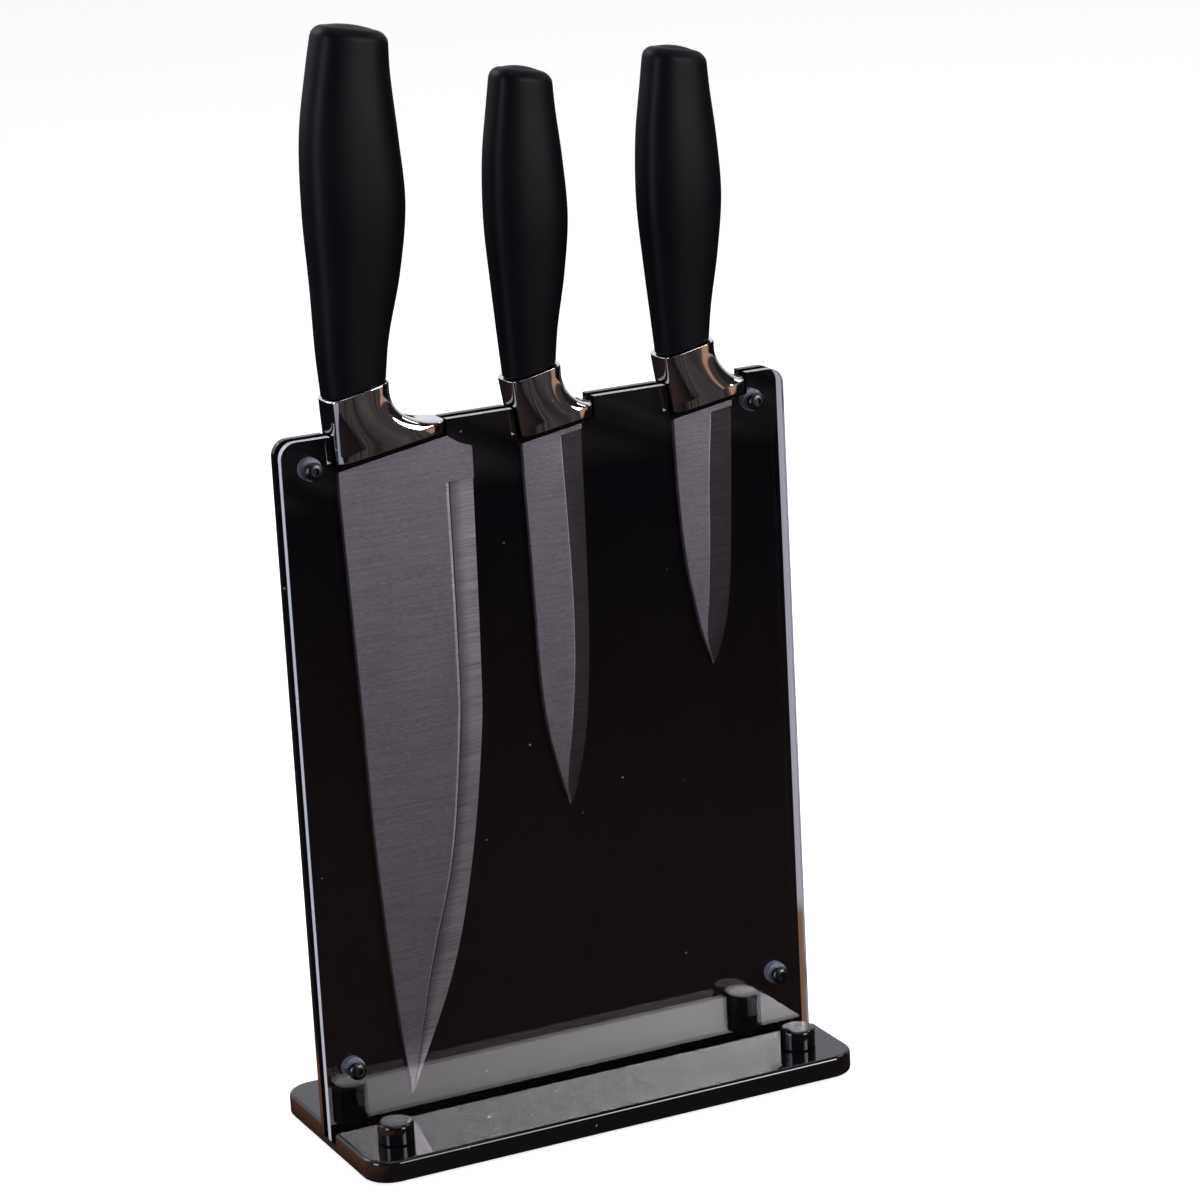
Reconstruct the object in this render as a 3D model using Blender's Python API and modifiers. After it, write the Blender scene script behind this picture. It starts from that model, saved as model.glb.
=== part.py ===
"""Knife stand: two acrylic panels on a grooved base plate, holding three kitchen knives point down.

Metres, +Z up. The origin is the middle of the footprint, on the surface the feet stand on.
X runs along the panels, from the chef's knife to the paring knife, and the stand faces -Y.
"""

from dataclasses import dataclass
from math import cos, pi, radians, sin, tau

import bmesh
import bpy
from mathutils import Matrix, Vector

# ---- Clearances ----
TOUCH_GAP = 0.0003  # between pieces that rest on or hold each other
NOTCH_SIDE_GAP = 0.0006  # beside a bolster in its notch
TIP_CLEARANCE = 0.0042  # from the longest blade's point to the base plate
LIFT_MARGIN = 0.005  # how far a point clears the panels when its knife is out

# ---- Stand ----
STAND_WIDTH = 0.1672
BASE_DEPTH = 0.075
BASE_THICKNESS = 0.007
BASE_CORNER_RADIUS = 0.009
BASE_EDGE_RADIUS = 0.0012
GROOVE_DEPTH = 0.004
FRONT_PANEL_THICKNESS = 0.0023
BACK_PANEL_THICKNESS = 0.0023
PANEL_GAP = 0.0034
PANEL_CORNER_RADIUS = 0.005
SEAT_DEPTH = 0.0102  # from the panels' top edge down to a knife's seat

# ---- Fasteners ----
SCREW_RADIUS = 0.0015
SCREW_TAIL = 0.0024  # thread inside the cap nut
HEAD_RADIUS = 0.0028
HEAD_HEIGHT = 0.0017
SOCKET_ACROSS_FLATS = 0.002
SOCKET_DEPTH = 0.0009
SPACER_RADIUS = 0.0035
SCREW_SIDE_INSET = 0.010
SCREW_TOP_INSET = 0.0094
SCREW_FOOT_HEIGHT = 0.0174  # lower screws above the base plate's top
NUT_ACROSS_FLATS = 0.0055
NUT_HEX_HEIGHT = 0.0024
NUT_DOME_RADIUS = 0.0024

# ---- Posts and feet ----
POST_RADIUS = 0.0056
POST_HEIGHT = 0.0065
POST_EDGE_RADIUS = 0.0011
POST_SIDE_INSET = 0.0141
POST_FRONT_INSET = 0.0152
POST_SCREW_BITE = 0.004
COUNTERSINK_RADIUS = 0.0029
COUNTERSINK_HEIGHT = 0.0016
FOOT_RADIUS = 0.005
FOOT_HEIGHT = 0.001
FOOT_INSET = 0.014

# ---- Knives ----
SECTION_POWER = 2.9  # roundness of handle and bolster sections; 2 is an ellipse
BOLSTER_DEPTH = 0.0146
BOLSTER_FOOT_RISE = 0.0011  # bolster's lower corner above the seat
BOLSTER_FOOT_SLOPE = 0.168
BOLSTER_TOP_SLOPE = 0.215
GUARD_TIP_HEIGHT = 0.003
EDGE_THICKNESS = 0.0003
PLUNGE_LENGTH = 0.0008
GRIP_WALL = 0.002
POMMEL_SLOPE = -0.19
POMMEL_RADIUS = 0.0034
POMMEL_CROWN = 0.0009
TANG_WIDTH = 0.009
UTILITY_OFFSET = -0.0013  # from the middle of the space between its neighbours
CHEF_SIDE_INSET = 0.0184  # panel side to the chef's spine
PARING_SIDE_INSET = 0.0374  # panel side to the paring knife's spine

# Shares of the handle's length, of its lean, of its belly width and of its depth.
HANDLE_PROFILE = (
    (0.00, 0.00, 0.63, 0.72),
    (0.12, 0.08, 0.715, 0.78),
    (0.30, 0.42, 0.88, 0.90),
    (0.50, 0.60, 1.00, 1.00),
    (0.70, 0.60, 0.94, 0.98),
    (0.88, 0.77, 0.785, 0.90),
    (1.00, 1.00, 0.695, 0.85),
)

# ---- Facet counts ----
ROUND_STEPS = 16
SECTION_STEPS = 20
CORNER_STEPS = 6

# ---- Worked out ----
SANDWICH = FRONT_PANEL_THICKNESS + PANEL_GAP + BACK_PANEL_THICKNESS
FRONT_FACE_Y = -SANDWICH / 2
BACK_FACE_Y = SANDWICH / 2
GAP_FRONT_Y = FRONT_FACE_Y + FRONT_PANEL_THICKNESS
GAP_BACK_Y = BACK_FACE_Y - BACK_PANEL_THICKNESS
BLADE_Y = (GAP_FRONT_Y + GAP_BACK_Y) / 2
BASE_TOP_Z = FOOT_HEIGHT + BASE_THICKNESS
HOLE_RADIUS = SCREW_RADIUS + TOUCH_GAP


@dataclass(frozen=True)
class Knife:
    """One knife, in its own frame: x from the spine to the edge, z up, origin at the seat."""

    name: str
    blade_length: float
    blade_thickness: float
    spine: tuple  # (distance down the blade, x)
    bevel: tuple
    edge: tuple
    heel: tuple  # x and z of the blade's upper corner on the edge side
    shoulder_x: float  # where the blade's upper edge leaves the bolster
    bevel_start: float
    neck_left: float
    neck_width: float
    neck_rise: float  # bolster's upper corner on the spine side
    guard_reach: float
    guard_power: float
    foot_left: float
    handle_length: float
    handle_lean: float
    belly_width: float
    handle_depth: float
    tang_length: float


CHEF = Knife(
    name="chef",
    blade_length=0.2012,
    blade_thickness=0.002,
    spine=((0, 0), (0.068, 0.0024), (0.1226, 0.0041), (0.1733, 0.0075), (0.2012, 0.0108)),
    bevel=((0, 0.0352), (0.068, 0.0348), (0.087, 0.0339), (0.1274, 0.0286), (0.1619, 0.0192), (0.2012, 0.0108)),
    edge=((0, 0.0438), (0.0696, 0.0425), (0.0885, 0.0415), (0.1288, 0.0357), (0.1636, 0.0270), (0.2012, 0.0108)),
    heel=(0.0440, 0.0),
    shoulder_x=0.0339,
    bevel_start=0.0101,
    neck_left=-0.0023,
    neck_width=0.0196,
    neck_rise=0.0203,
    guard_reach=0.0343,
    guard_power=2.2,
    foot_left=-0.0015,
    handle_length=0.1066,
    handle_lean=0.0067,
    belly_width=0.0306,
    handle_depth=0.0206,
    tang_length=0.060,
)
UTILITY = Knife(
    name="utility",
    blade_length=0.1182,
    blade_thickness=0.0018,
    spine=((0, 0), (0.048, 0.0014), (0.075, 0.0020), (0.0924, 0.0036), (0.1114, 0.0078), (0.1182, 0.0100)),
    bevel=((0, 0.0130), (0.050, 0.0142), (0.0723, 0.0136), (0.0903, 0.0118), (0.1105, 0.0090), (0.1182, 0.0100)),
    edge=((0, 0.0202), (0.0465, 0.0197), (0.0734, 0.0187), (0.0957, 0.0164), (0.1122, 0.0125), (0.1182, 0.0100)),
    heel=(0.0204, 0.0040),
    shoulder_x=0.0135,
    bevel_start=0.0002,
    neck_left=-0.0041,
    neck_width=0.0172,
    neck_rise=0.0181,
    guard_reach=0.0231,
    guard_power=1.85,
    foot_left=-0.0015,
    handle_length=0.0915,
    handle_lean=0.0029,
    belly_width=0.0254,
    handle_depth=0.0176,
    tang_length=0.050,
)
PARING = Knife(
    name="paring",
    blade_length=0.0819,
    blade_thickness=0.0018,
    spine=((0, 0), (0.0313, 0.0011), (0.0486, 0.0026), (0.0616, 0.0049), (0.0723, 0.0072), (0.0819, 0.0105)),
    bevel=((0, 0.0130), (0.022, 0.0114), (0.044, 0.0105), (0.0587, 0.0095), (0.0723, 0.0084), (0.0819, 0.0105)),
    edge=((0, 0.0204), (0.0233, 0.0194), (0.0526, 0.0177), (0.067, 0.0158), (0.0772, 0.0128), (0.0819, 0.0105)),
    heel=(0.0206, 0.0040),
    shoulder_x=0.0135,
    bevel_start=0.0004,
    neck_left=-0.0039,
    neck_width=0.0177,
    neck_rise=0.0183,
    guard_reach=0.0240,
    guard_power=1.6,
    foot_left=-0.0015,
    handle_length=0.0920,
    handle_lean=0.0022,
    belly_width=0.0262,
    handle_depth=0.0180,
    tang_length=0.050,
)
KNIVES = (CHEF, UTILITY, PARING)

PANEL_RISE = CHEF.blade_length + TIP_CLEARANCE + SEAT_DEPTH  # panels' top above the base plate's
PANEL_TOP_Z = BASE_TOP_Z + PANEL_RISE
SEAT_Z = PANEL_TOP_Z - SEAT_DEPTH


# ---------------------------------------------------------------- scene and materials
def clear_scene():
    for obj in list(bpy.data.objects):
        bpy.data.objects.remove(obj, do_unlink=True)


def make_collection(name):
    collection = bpy.data.collections.new(name)
    bpy.context.scene.collection.children.link(collection)
    return collection


def make_material(name, colour, roughness, metallic=0.0, transmission=0.0):
    """A Principled material with this finish."""
    material = bpy.data.materials.new(name)
    material.use_nodes = True
    shader = material.node_tree.nodes["Principled BSDF"]
    shader.inputs["Base Color"].default_value = (*colour, 1.0)
    shader.inputs["Roughness"].default_value = roughness
    shader.inputs["Metallic"].default_value = metallic
    shader.inputs["Transmission Weight"].default_value = transmission
    material.diffuse_color = (*colour, 1.0)
    return material


def material_for(name):
    """Each kind of piece has its own finish."""
    finishes = (
        ("base_plate", (0.012, 0.012, 0.014), 0.06, 0.0, 0.0),
        ("back_panel", (0.010, 0.010, 0.012), 0.08, 0.0, 0.0),
        ("front_panel", (0.96, 0.96, 0.97), 0.02, 0.0, 1.0),
        ("spacer", (0.10, 0.11, 0.13), 0.45, 0.0, 0.0),
        ("panel_screw", (0.015, 0.015, 0.016), 0.25, 1.0, 0.0),
        ("cap_nut", (0.015, 0.015, 0.016), 0.25, 1.0, 0.0),
        ("post_screw", (0.35, 0.35, 0.36), 0.35, 1.0, 0.0),
        ("post", (0.010, 0.010, 0.011), 0.08, 0.0, 0.0),
        ("foot", (0.02, 0.02, 0.02), 0.75, 0.0, 0.0),
        ("blade", (0.62, 0.62, 0.64), 0.32, 1.0, 0.0),
        ("bolster", (0.80, 0.80, 0.82), 0.06, 1.0, 0.0),
        ("handle_core", (0.03, 0.03, 0.03), 0.50, 0.0, 0.0),
        ("grip", (0.012, 0.012, 0.014), 0.60, 0.0, 0.0),
    )
    for kind, *finish in finishes:
        if kind in name:
            return make_material(name, *finish)
    raise ValueError(f"no finish for {name}")


def add_object(name, mesh, collection, location=(0, 0, 0), parent=None):
    obj = bpy.data.objects.new(name, mesh)
    obj.location = location
    obj.parent = parent
    collection.objects.link(obj)
    return obj


def add_part(name, mesh, collection, location=(0, 0, 0), parent=None):
    mesh.shade_smooth()
    mesh.set_sharp_from_angle(angle=radians(32))
    obj = add_object(name, mesh, collection, location, parent)
    mesh.materials.append(material_for(name))
    return obj


def add_cutter(name, mesh, collection, location=(0, 0, 0), parent=None):
    obj = add_object(name, mesh, collection, location, parent)
    obj.hide_render = True
    obj.display_type = "WIRE"
    return obj


def boolean(obj, other, operation="DIFFERENCE"):
    modifier = obj.modifiers.new(f"{operation.lower()}_{other.name}", "BOOLEAN")
    modifier.operation = operation
    modifier.object = other


# ---------------------------------------------------------------- mesh builders
def to_mesh(name, bm):
    mesh = bpy.data.meshes.new(name)
    bm.to_mesh(mesh)
    bm.free()
    return mesh


def box_mesh(name, low, high):
    """A plain box between two corners."""
    bm = bmesh.new()
    low, high = Vector(low), Vector(high)
    middle = Matrix.Translation((low + high) / 2)
    bmesh.ops.create_cube(bm, size=1.0, matrix=middle @ Matrix.Diagonal((*(high - low), 1.0)))
    return to_mesh(name, bm)


def slab_mesh(name, low, high, radius, axis, only=None):
    """A box whose edges along one axis are rounded; only(edge middle) picks some of them."""
    bm = bmesh.new()
    low, high = Vector(low), Vector(high)
    middle = Matrix.Translation((low + high) / 2)
    bmesh.ops.create_cube(bm, size=1.0, matrix=middle @ Matrix.Diagonal((*(high - low), 1.0)))
    edges = [
        edge
        for edge in bm.edges
        if abs((edge.verts[0].co - edge.verts[1].co).normalized()[axis]) > 0.9
        and (only is None or only((edge.verts[0].co + edge.verts[1].co) / 2))
    ]
    bmesh.ops.bevel(bm, geom=edges, offset=radius, segments=CORNER_STEPS, profile=0.5, affect="EDGES")
    return to_mesh(name, bm)


def cylinder_mesh(name, radius, length, sides=ROUND_STEPS, top_radius=None):
    """A cylinder or cone standing on the origin along +Z."""
    bm = bmesh.new()
    bmesh.ops.create_cone(
        bm,
        cap_ends=True,
        segments=sides,
        radius1=radius,
        radius2=radius if top_radius is None else top_radius,
        depth=length,
        matrix=Matrix.Translation((0, 0, length / 2)),
    )
    return to_mesh(name, bm)


def turned_mesh(name, profile):
    """An open profile of (radius, height), from the top down, whose ends lie on the Z axis."""
    mesh = bpy.data.meshes.new(name)
    points = [(radius, 0.0, height) for radius, height in profile]
    mesh.from_pydata(points, [(i, i + 1) for i in range(len(points) - 1)], [])
    return mesh


def turn(obj):
    """Sweeps an object's profile round its Z axis."""
    screw = obj.modifiers.new("turn", "SCREW")
    screw.steps = ROUND_STEPS
    screw.render_steps = ROUND_STEPS
    screw.use_merge_vertices = True
    screw.merge_threshold = 0.00001
    screw.use_smooth_shade = True


def arc(centre, radius, start, end, steps):
    """Points on an arc, angles in degrees, as (x, z)."""
    points = []
    for i in range(steps + 1):
        angle = radians(start + (end - start) * i / steps)
        points.append((centre[0] + radius * cos(angle), centre[1] + radius * sin(angle)))
    return points


def loft_mesh(name, rings, cap_start=True, cap_end=True):
    """Skin over closed rings with the same point count, the first ring lowest."""
    bm = bmesh.new()
    rows = [[bm.verts.new(point) for point in ring] for ring in rings]
    count = len(rows[0])
    for lower, upper in zip(rows, rows[1:]):
        for i in range(count):
            j = (i + 1) % count
            bm.faces.new((lower[i], lower[j], upper[j], upper[i]))
    if cap_start:
        bm.faces.new(rows[0][::-1])
    if cap_end:
        bm.faces.new(rows[-1])
    bmesh.ops.recalc_face_normals(bm, faces=bm.faces)
    return to_mesh(name, bm)


def smooth_at(points, position):
    """Value of a smooth curve through (position, value) points."""
    last = len(points) - 1
    i = max(k for k in range(last) if points[k][0] <= position or k == 0)
    (x0, y0), (x1, y1) = points[i], points[i + 1]

    def slope(k):
        if k in (0, last):
            k = min(k, last - 1)
            return (points[k + 1][1] - points[k][1]) / (points[k + 1][0] - points[k][0])
        return (points[k + 1][1] - points[k - 1][1]) / (points[k + 1][0] - points[k - 1][0])

    span = x1 - x0
    t = (position - x0) / span
    return (
        (2 * t**3 - 3 * t**2 + 1) * y0
        + (t**3 - 2 * t**2 + t) * span * slope(i)
        + (3 * t**2 - 2 * t**3) * y1
        + (t**3 - t**2) * span * slope(i + 1)
    )


def section(centre_x, centre_z, half_width, half_depth, slope):
    """A rounded section, tilted about Y so that it rises along x by the slope."""
    ring = []
    for i in range(SECTION_STEPS):
        angle = tau * i / SECTION_STEPS
        c, s = cos(angle), sin(angle)
        x = half_width * (abs(c) ** (2 / SECTION_POWER)) * (1 if c >= 0 else -1)
        y = half_depth * (abs(s) ** (2 / SECTION_POWER)) * (1 if s >= 0 else -1)
        ring.append((centre_x + x, y, centre_z + slope * x))
    return ring


# ---------------------------------------------------------------- stand
def knife_x(knife):
    """World x of a knife's spine."""
    if knife is CHEF:
        return -STAND_WIDTH / 2 + CHEF_SIDE_INSET
    if knife is PARING:
        return STAND_WIDTH / 2 - PARING_SIDE_INSET
    space_left = knife_x(CHEF) + CHEF.guard_reach
    space_right = knife_x(PARING) + PARING.neck_left
    middle = (knife.neck_left + knife.guard_reach) / 2
    return (space_left + space_right) / 2 - middle + UTILITY_OFFSET


def corner_places():
    """(name, x, z) of the four panel screws."""
    side = STAND_WIDTH / 2 - SCREW_SIDE_INSET
    heights = (("top", PANEL_TOP_Z - SCREW_TOP_INSET), ("bottom", BASE_TOP_Z + SCREW_FOOT_HEIGHT))
    for row, z in heights:
        yield f"{row}_left", -side, z
        yield f"{row}_right", side, z


def post_places():
    side = STAND_WIDTH / 2 - POST_SIDE_INSET
    y = -BASE_DEPTH / 2 + POST_FRONT_INSET
    yield "left", -side, y
    yield "right", side, y


def notch_cutter(knife, cutters):
    """The opening that takes a bolster: a slanted floor between two upright walls."""
    left = min(knife.neck_left, knife.foot_left) - NOTCH_SIDE_GAP
    right = knife.guard_reach + NOTCH_SIDE_GAP
    floor = BOLSTER_FOOT_RISE - TOUCH_GAP
    reach = SANDWICH
    outline = (
        (left, floor + BOLSTER_FOOT_SLOPE * (left - knife.foot_left)),
        (right, floor + BOLSTER_FOOT_SLOPE * (right - knife.foot_left)),
        (right, SEAT_DEPTH * 2),
        (left, SEAT_DEPTH * 2),
    )
    rings = [[(x, y, z) for x, z in outline] for y in (-reach, reach)]
    mesh = loft_mesh(f"{knife.name}_notch", rings)
    return add_cutter(f"{knife.name}_notch", mesh, cutters, (knife_x(knife), 0, SEAT_Z))


def panel(name, low_y, high_y, parts, notches, holes):
    low = (-STAND_WIDTH / 2, low_y, BASE_TOP_Z - GROOVE_DEPTH + TOUCH_GAP)
    high = (STAND_WIDTH / 2, high_y, PANEL_TOP_Z)
    mesh = slab_mesh(name, low, high, PANEL_CORNER_RADIUS, axis=1, only=lambda middle: middle.z > SEAT_Z)
    obj = add_part(name, mesh, parts)
    for cutter in notches + holes:
        boolean(obj, cutter)
    return obj


def base_plate(parts, cutters):
    half_x, half_y = STAND_WIDTH / 2, BASE_DEPTH / 2
    mesh = slab_mesh(
        "base_plate", (-half_x, -half_y, FOOT_HEIGHT), (half_x, half_y, BASE_TOP_Z), BASE_CORNER_RADIUS, axis=2
    )
    obj = add_part("base_plate", mesh, parts)
    bevel = obj.modifiers.new("softened_edges", "BEVEL")
    bevel.width = BASE_EDGE_RADIUS
    bevel.segments = 2
    bevel.limit_method = "ANGLE"
    bevel.angle_limit = radians(60)
    groove_half = SANDWICH / 2 + TOUCH_GAP
    groove = box_mesh(
        "panel_groove",
        (-STAND_WIDTH, -groove_half, BASE_TOP_Z - GROOVE_DEPTH),
        (STAND_WIDTH, groove_half, BASE_TOP_Z + GROOVE_DEPTH),
    )
    boolean(obj, add_cutter("panel_groove", groove, cutters))
    for side, x, y in post_places():
        hole = cylinder_mesh(f"post_hole_{side}", HOLE_RADIUS, 3 * BASE_THICKNESS)
        boolean(obj, add_cutter(f"post_hole_{side}", hole, cutters, (x, y, -BASE_THICKNESS)))
        sink_radius = COUNTERSINK_RADIUS + TOUCH_GAP
        sink_height = COUNTERSINK_HEIGHT + TOUCH_GAP
        sink = cylinder_mesh(
            f"countersink_{side}", sink_radius * 2 - HOLE_RADIUS, 2 * sink_height, top_radius=HOLE_RADIUS
        )
        boolean(obj, add_cutter(f"countersink_{side}", sink, cutters, (x, y, FOOT_HEIGHT - sink_height)))
    return obj


def lay_back(obj):
    """Turns a piece made along +Z so that it points along +Y."""
    obj.rotation_euler = (-pi / 2, 0, 0)
    return obj


def panel_screw(name, x, z, parts):
    """Button head with a hexagon socket, its shank along the panels' thickness."""
    shank_end = SANDWICH + 2 * TOUCH_GAP + SCREW_TAIL
    crown = HEAD_HEIGHT * 0.45
    rim = HEAD_HEIGHT - crown
    profile = [(0.0, shank_end), (SCREW_RADIUS, shank_end), (SCREW_RADIUS, 0.0), (HEAD_RADIUS, 0.0)]
    profile += [(HEAD_RADIUS, -crown)]
    profile += [(HEAD_RADIUS - rim * (1 - cos(a)) * 1.2, -crown - rim * sin(a)) for a in (pi / 6, pi / 3, pi / 2)]
    profile += [(0.0, -HEAD_HEIGHT)]
    obj = add_part(name, turned_mesh(name, profile), parts, (x, FRONT_FACE_Y - TOUCH_GAP, z))
    turn(obj)
    return lay_back(obj)


def socket_cutter(name, x, z, cutters):
    mesh = cylinder_mesh(name, SOCKET_ACROSS_FLATS / 2 / cos(pi / 6), SOCKET_DEPTH * 2, sides=6)
    y = FRONT_FACE_Y - TOUCH_GAP - HEAD_HEIGHT - SOCKET_DEPTH
    return lay_back(add_cutter(name, mesh, cutters, (x, y, z)))


def cap_nut(name, x, z, parts, cutters):
    """Hexagon with a domed blind end, open towards the screw."""
    mesh = cylinder_mesh(name, NUT_ACROSS_FLATS / 2 / cos(pi / 6), NUT_HEX_HEIGHT, sides=6)
    y = BACK_FACE_Y + TOUCH_GAP
    obj = lay_back(add_part(name, mesh, parts, (x, y, z)))
    profile = arc((0, SCREW_TAIL), NUT_DOME_RADIUS, 90, 0, 4)
    profile[0] = (0.0, SCREW_TAIL + NUT_DOME_RADIUS)
    profile += [(NUT_DOME_RADIUS, NUT_HEX_HEIGHT * 0.4), (0.0, NUT_HEX_HEIGHT * 0.4)]
    dome = lay_back(add_cutter(f"{name}_dome", turned_mesh(name, profile), cutters, (x, y, z)))
    turn(dome)
    bore = cylinder_mesh(f"{name}_bore", HOLE_RADIUS, SCREW_TAIL + 3 * TOUCH_GAP)
    bore_object = lay_back(add_cutter(f"{name}_bore", bore, cutters, (x, y - TOUCH_GAP, z)))
    boolean(obj, dome, "UNION")
    boolean(obj, bore_object)
    return obj


def spacer(name, x, z, parts, cutters):
    length = PANEL_GAP - 2 * TOUCH_GAP
    start = GAP_FRONT_Y + TOUCH_GAP
    obj = lay_back(add_part(name, cylinder_mesh(name, SPACER_RADIUS, length), parts, (x, start, z)))
    bore = cylinder_mesh(f"{name}_bore", HOLE_RADIUS, 3 * length)
    boolean(obj, lay_back(add_cutter(f"{name}_bore", bore, cutters, (x, start - length, z))))
    return obj


def post(side, x, y, parts, cutters):
    """Short round post with a softened top, drilled from below."""
    name = f"post_{side}"
    top = POST_HEIGHT
    profile = [(0.0, top)]
    profile += arc((POST_RADIUS - POST_EDGE_RADIUS, top - POST_EDGE_RADIUS), POST_EDGE_RADIUS, 90, 0, 3)
    profile += [(POST_RADIUS, TOUCH_GAP), (0.0, TOUCH_GAP)]
    obj = add_part(name, turned_mesh(name, profile), parts, (x, y, BASE_TOP_Z))
    turn(obj)
    bore = cylinder_mesh(f"{name}_bore", HOLE_RADIUS, 2 * POST_SCREW_BITE)
    bore_z = BASE_TOP_Z - POST_SCREW_BITE + TOUCH_GAP
    boolean(obj, add_cutter(f"{name}_bore", bore, cutters, (x, y, bore_z)))
    return obj


def post_screw(side, x, y, parts):
    """Countersunk screw from under the base plate into a post."""
    length = BASE_THICKNESS + POST_SCREW_BITE - 2 * TOUCH_GAP
    profile = (
        (0.0, length),
        (SCREW_RADIUS, length),
        (SCREW_RADIUS, COUNTERSINK_HEIGHT),
        (COUNTERSINK_RADIUS, 0.0),
        (0.0, 0.0),
    )
    name = f"post_screw_{side}"
    obj = add_part(name, turned_mesh(name, profile), parts, (x, y, FOOT_HEIGHT + TOUCH_GAP))
    turn(obj)
    return obj


def feet(parts):
    for row, sign_y in (("front", -1), ("back", 1)):
        for side, sign_x in (("left", -1), ("right", 1)):
            name = f"foot_{row}_{side}"
            x = sign_x * (STAND_WIDTH / 2 - FOOT_INSET - POST_SIDE_INSET)
            y = sign_y * (BASE_DEPTH / 2 - FOOT_INSET)
            height = FOOT_HEIGHT - TOUCH_GAP
            mesh = cylinder_mesh(name, FOOT_RADIUS, height, top_radius=FOOT_RADIUS * 0.96)
            add_part(name, mesh, parts, (x, y, 0))


def build_stand(parts, cutters):
    base_plate(parts, cutters)
    notches = [notch_cutter(knife, cutters) for knife in KNIVES]
    holes = []
    for place, x, z in corner_places():
        mesh = cylinder_mesh(f"panel_hole_{place}", HOLE_RADIUS, 4 * SANDWICH)
        holes.append(lay_back(add_cutter(f"panel_hole_{place}", mesh, cutters, (x, -2 * SANDWICH, z))))
    panel("front_panel", FRONT_FACE_Y, GAP_FRONT_Y, parts, notches, holes)
    panel("back_panel", GAP_BACK_Y, BACK_FACE_Y, parts, notches, holes)
    for place, x, z in corner_places():
        spacer(f"spacer_{place}", x, z, parts, cutters)
        screw = panel_screw(f"panel_screw_{place}", x, z, parts)
        boolean(screw, socket_cutter(f"socket_{place}", x, z, cutters))
        cap_nut(f"cap_nut_{place}", x, z, parts, cutters)
    for side, x, y in post_places():
        post(side, x, y, parts, cutters)
        post_screw(side, x, y, parts)
    feet(parts)


# ---------------------------------------------------------------- knives
def foot_height(knife, x):
    """Height of a bolster's slanted underside."""
    return BOLSTER_FOOT_RISE + BOLSTER_FOOT_SLOPE * (x - knife.foot_left)


def neck(knife):
    """Middle x, middle z and half width where bolster and handle meet."""
    half = knife.neck_width / 2
    return knife.neck_left + half, knife.neck_rise + BOLSTER_TOP_SLOPE * half, half


def blade_section(spine, bevel, edge, half, edge_half):
    """Six-sided cut through the blade; each station is (x, z)."""
    stations = ((spine, half), (bevel, half), (edge, edge_half))
    front = [(x, -y, z) for (x, z), y in stations]
    return front + [(x, -y, z) for x, y, z in reversed(front)]


def blade(knife, parts, cutters, parent):
    half = knife.blade_thickness / 2
    edge_half = EDGE_THICKNESS / 2
    heel_x, heel_z = knife.heel
    under = -TOUCH_GAP
    top = blade_section(
        (0.0, foot_height(knife, 0.0) + under),
        (knife.shoulder_x, foot_height(knife, knife.shoulder_x) + under),
        (heel_x, min(heel_z, foot_height(knife, heel_x) + under)),
        half,
        half,
    )
    rings = [top]
    steps = 14
    start = knife.bevel_start
    depths = [start, start + PLUNGE_LENGTH]
    rest = knife.blade_length - start - PLUNGE_LENGTH
    depths += [start + PLUNGE_LENGTH + rest * i / steps for i in range(1, steps)]
    depths += [knife.blade_length - EDGE_THICKNESS]
    for i, down in enumerate(depths):
        spine, bevel, edge = (smooth_at(curve, down) for curve in (knife.spine, knife.bevel, knife.edge))
        bevel = min(max(bevel, spine + EDGE_THICKNESS), edge - EDGE_THICKNESS)
        spine = min(spine, bevel - EDGE_THICKNESS)
        edge = max(edge, bevel + EDGE_THICKNESS)
        thick = half if i == 0 else edge_half
        taper = edge_half + (half - edge_half) * min(1.0, (edge - spine) / (0.3 * heel_x))
        rings.append(blade_section((spine, -down), (bevel, -down), (edge, -down), taper, min(thick, taper)))
    mesh = loft_mesh(f"{knife.name}_blade", rings[::-1])
    obj = add_part(f"{knife.name}_blade", mesh, parts, parent=parent)
    middle, neck_z, _ = neck(knife)
    low = (middle - TANG_WIDTH / 2, -half * 0.999, -knife.bevel_start)
    high = (middle + TANG_WIDTH / 2, half * 0.999, neck_z + knife.tang_length)
    tang = add_cutter(f"{knife.name}_tang", box_mesh("tang", low, high), cutters, parent=parent)
    boolean(obj, tang, "UNION")
    return obj


def tang_slot(knife, cutters, parent):
    """Room for the tang, through the bolster and up inside the handle core."""
    middle, neck_z, _ = neck(knife)
    half_x = TANG_WIDTH / 2 + TOUCH_GAP
    half_y = knife.blade_thickness / 2 + TOUCH_GAP
    low = (middle - half_x, -half_y, -SEAT_DEPTH)
    high = (middle + half_x, half_y, neck_z + knife.tang_length + TOUCH_GAP)
    return add_cutter(f"{knife.name}_tang_slot", box_mesh("tang_slot", low, high), cutters, parent=parent)


def guard_points(knife, steps):
    """(x, z) down the bolster's edge side: a straight neck, a hollow for the finger, a blunt tip."""
    right_x = knife.neck_left + knife.neck_width
    top_z = knife.neck_rise + BOLSTER_TOP_SLOPE * knife.neck_width
    tip_z = foot_height(knife, knife.guard_reach)
    hollow_top = top_z - GUARD_TIP_HEIGHT
    hollow_foot = tip_z + GUARD_TIP_HEIGHT
    wide, tall = knife.guard_reach - right_x, hollow_top - hollow_foot
    points = [(right_x, top_z)]
    for i in range(steps + 1):
        angle = pi / 2 * i / steps
        x = knife.guard_reach - wide * cos(angle) ** (2 / knife.guard_power)
        z = hollow_top - tall * sin(angle) ** (2 / knife.guard_power)
        points.append((x, z))
    points.append((knife.guard_reach, tip_z))
    return points


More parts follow.
